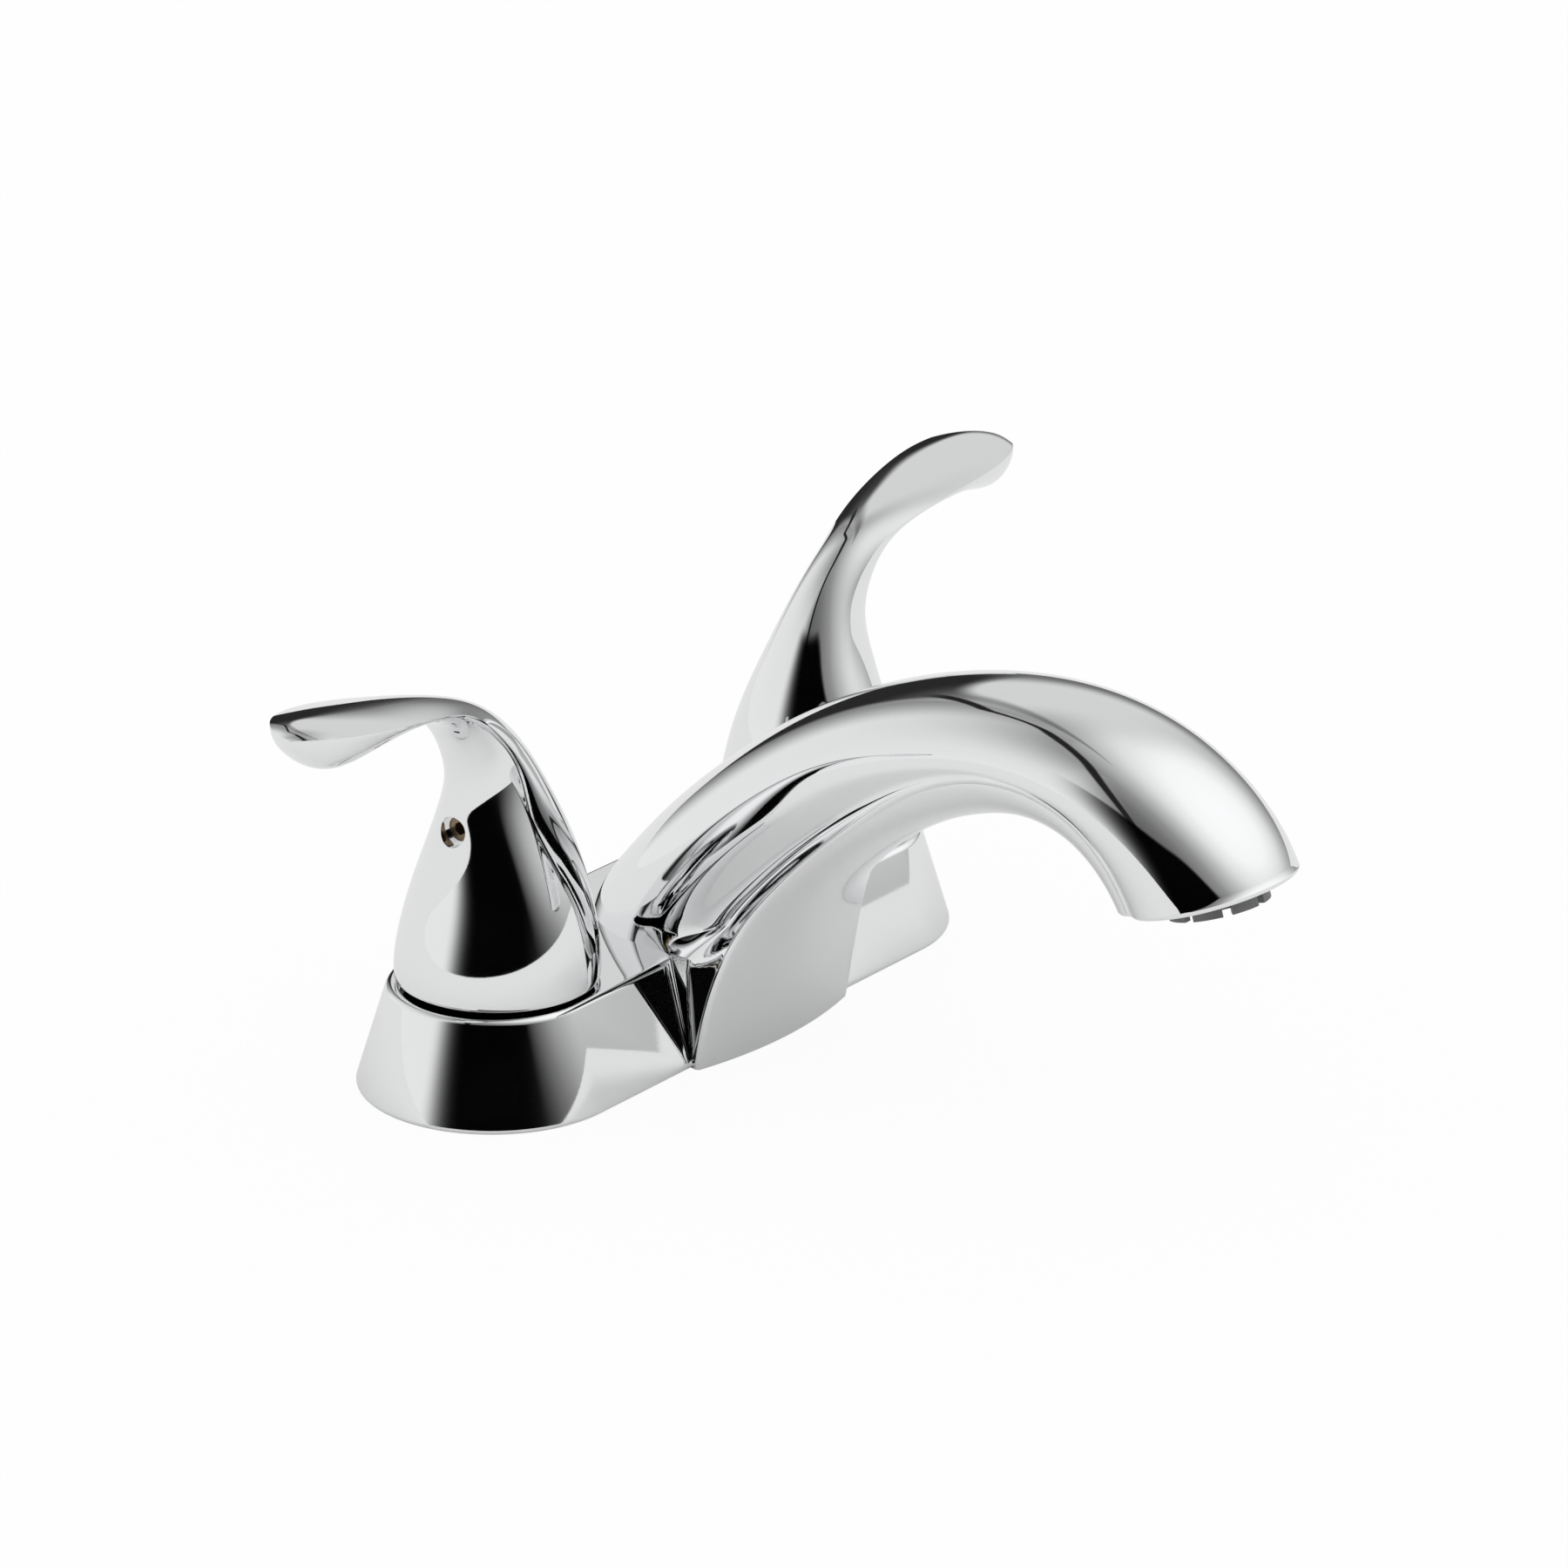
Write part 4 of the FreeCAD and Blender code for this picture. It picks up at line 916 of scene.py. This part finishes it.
def studio():
    """Two large soft boxes, a dark card low in front and the dim gaps between them."""
    sky = Sky()
    up, front, back = sky.height, sky.front, sky.back

    # Soft box high on the right, its glow spreading over the whole ceiling
    light = sky.steps(sky.toward(*RIGHT_BOX), RIGHT_BOX_GLOW)
    side = sky.math("MULTIPLY", sky.window(front, *SIDE_BOX_ROUND), sky.window(up, *SIDE_BOX_UP))
    light = sky.area(SIDE_BOX_LEVEL, side, light)

    # Soft box on the left, round to the back
    glow = sky.steps(sky.math("DIVIDE", up, 90.0), LEFT_BOX_GLOW)
    box = sky.math("MULTIPLY", sky.window(back, *LEFT_BOX_ROUND), sky.window(up, *LEFT_BOX_UP))
    light = sky.area(glow, box, light)

    # Dark gap at the back right
    turned = sky.math("ADD", back, 180.0)
    off = sky.math("ABSOLUTE", sky.math("SUBTRACT", turned, sky.ramp(up, *WIDE_GAP_MIDDLE)))
    wedge = sky.ramp(sky.math("SUBTRACT", sky.ramp(up, *WIDE_GAP_HALF), off), -2.5, 2.5)
    wedge = sky.math("MULTIPLY", wedge, sky.ramp(up, *WIDE_GAP_FADE))
    light = sky.area(WIDE_GAP_LEVEL, wedge, light)

    # Thin dark gap over the left soft box, from the back right to the left
    slant = sky.math("MULTIPLY", sky.right, THIN_GAP_SLANT)
    path = sky.math("ADD", slant, sky.ramp(sky.right, *THIN_GAP_LONG_STEP))
    path = sky.math("ADD", path, sky.ramp(sky.right, *THIN_GAP_SHORT_STEP))
    off = sky.math("SUBTRACT", sky.rear, path)
    off = sky.math("MULTIPLY", off, sky.ramp(sky.right, *THIN_GAP_NARROWING))
    thin = sky.window(off, -THIN_GAP_HALF, THIN_GAP_HALF, THIN_GAP_SOFT, THIN_GAP_SOFT)
    light = sky.area(THIN_GAP_LEVEL, sky.math("MULTIPLY", thin, sky.ramp(up, *THIN_GAP_FOOT)), light)

    # Dark card low in front, fading away to the right
    over = sky.math("SUBTRACT", sky.ramp(front, *CARD_CREST), up)
    under = sky.ramp(sky.math("DIVIDE", over, sky.ramp(front, *CARD_CREST_SOFT)), -0.5, 0.5)
    card = sky.math("MULTIPLY", sky.ramp(front, *CARD_LEFT_END), sky.ramp(front, *CARD_RIGHT_END))
    light = sky.area(CARD_LEVEL, sky.math("MULTIPLY", card, under), light)
    sky.output(light)


def floor():
    """A wide pale floor, clear of the parts that go down through the deck."""
    steps = 96
    plane = [(-FLOOR_REACH, -FLOOR_REACH, 0), (FLOOR_REACH, -FLOOR_REACH, 0),
             (FLOOR_REACH, FLOOR_REACH, 0), (-FLOOR_REACH, FLOOR_REACH, 0)]
    mesh = bpy.data.meshes.new("floor")
    work = bmesh.new()
    corners = [work.verts.new(point) for point in plane]
    edges = [work.edges.new((corners[step], corners[(step + 1) % 4])) for step in range(4)]
    for side in SIDES.values():
        middle = side * HANDLE_SPACING / 2 * MM
        ring = []
        for step in range(steps):
            angle = 2 * math.pi * step / steps
            ring.append(work.verts.new((middle + FLOOR_HOLE_RADIUS * math.cos(angle),
                                        FLOOR_HOLE_RADIUS * math.sin(angle), 0)))
        edges += [work.edges.new((ring[step], ring[(step + 1) % steps])) for step in range(steps)]
    bmesh.ops.triangle_fill(work, use_beauty=True, use_dissolve=False, edges=edges)
    for face in work.faces:
        if face.normal.z < 0:
            face.normal_flip()
    work.to_mesh(mesh)
    work.free()
    obj = bpy.data.objects.new("floor", mesh)
    bpy.context.scene.collection.objects.link(obj)
    obj.data.materials.append(floor_paint())


def floor_paint():
    """Grey to all else, nearly white to the camera."""
    material = bpy.data.materials.new("floor")
    material.use_nodes = True
    tree = material.node_tree
    matt = tree.nodes["Principled BSDF"]
    matt.inputs["Base Color"].default_value = (FLOOR_GREY, FLOOR_GREY, FLOOR_GREY, 1)
    matt.inputs["Roughness"].default_value = 0.9
    matt.inputs["Specular IOR Level"].default_value = 0.0
    white = tree.nodes.new("ShaderNodeEmission")
    white.inputs["Strength"].default_value = 1.0
    paths = tree.nodes.new("ShaderNodeLightPath")
    share = tree.nodes.new("ShaderNodeMath")
    share.operation = "MULTIPLY"
    share.inputs[1].default_value = FLOOR_WHITE
    tree.links.new(paths.outputs["Is Camera Ray"], share.inputs[0])
    mix = tree.nodes.new("ShaderNodeMixShader")
    tree.links.new(share.outputs[0], mix.inputs["Fac"])
    tree.links.new(matt.outputs[0], mix.inputs[1])
    tree.links.new(white.outputs[0], mix.inputs[2])
    tree.links.new(mix.outputs[0], tree.nodes["Material Output"].inputs["Surface"])
    return material


def camera():
    """The photograph's viewpoint."""
    data = bpy.data.cameras.new("camera")
    data.sensor_width = 36.0
    data.lens = CAMERA_LENS
    data.clip_end = 20.0
    obj = bpy.data.objects.new("camera", data)
    bpy.context.scene.collection.objects.link(obj)
    azimuth, elevation, roll = (math.radians(value) for value in CAMERA_ANGLES)
    back = Vector((math.sin(azimuth) * math.cos(elevation), -math.cos(azimuth) * math.cos(elevation),
                   math.sin(elevation)))
    right = Vector((0, 0, 1)).cross(back).normalized()
    up = back.cross(right)
    turned_right = right * math.cos(roll) + up * math.sin(roll)
    turned_up = back.cross(turned_right)
    axes = Matrix((turned_right, turned_up, back)).transposed().to_4x4()
    obj.matrix_world = Matrix.Translation(CAMERA_PLACE) @ axes
    bpy.context.scene.camera = obj


# The whole

camera()
studio()
floor()
paints = finishes()

for name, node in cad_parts.items():
    kind = name.removeprefix("hot_").removeprefix("cold_")
    if kind in SLOTS:
        dress(node, paints[SLOTS[kind]])

body = casting()
dress(body, paints["chrome"])
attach(body, "body")
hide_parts("spout_body")

for name, side in SIDES.items():
    lever = handle(side, name)
    dress(lever, paints["chrome"])
    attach(lever, f"{name}_lever")
    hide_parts(f"{name}_handle")

bpy.context.scene.view_settings.view_transform = "Standard"
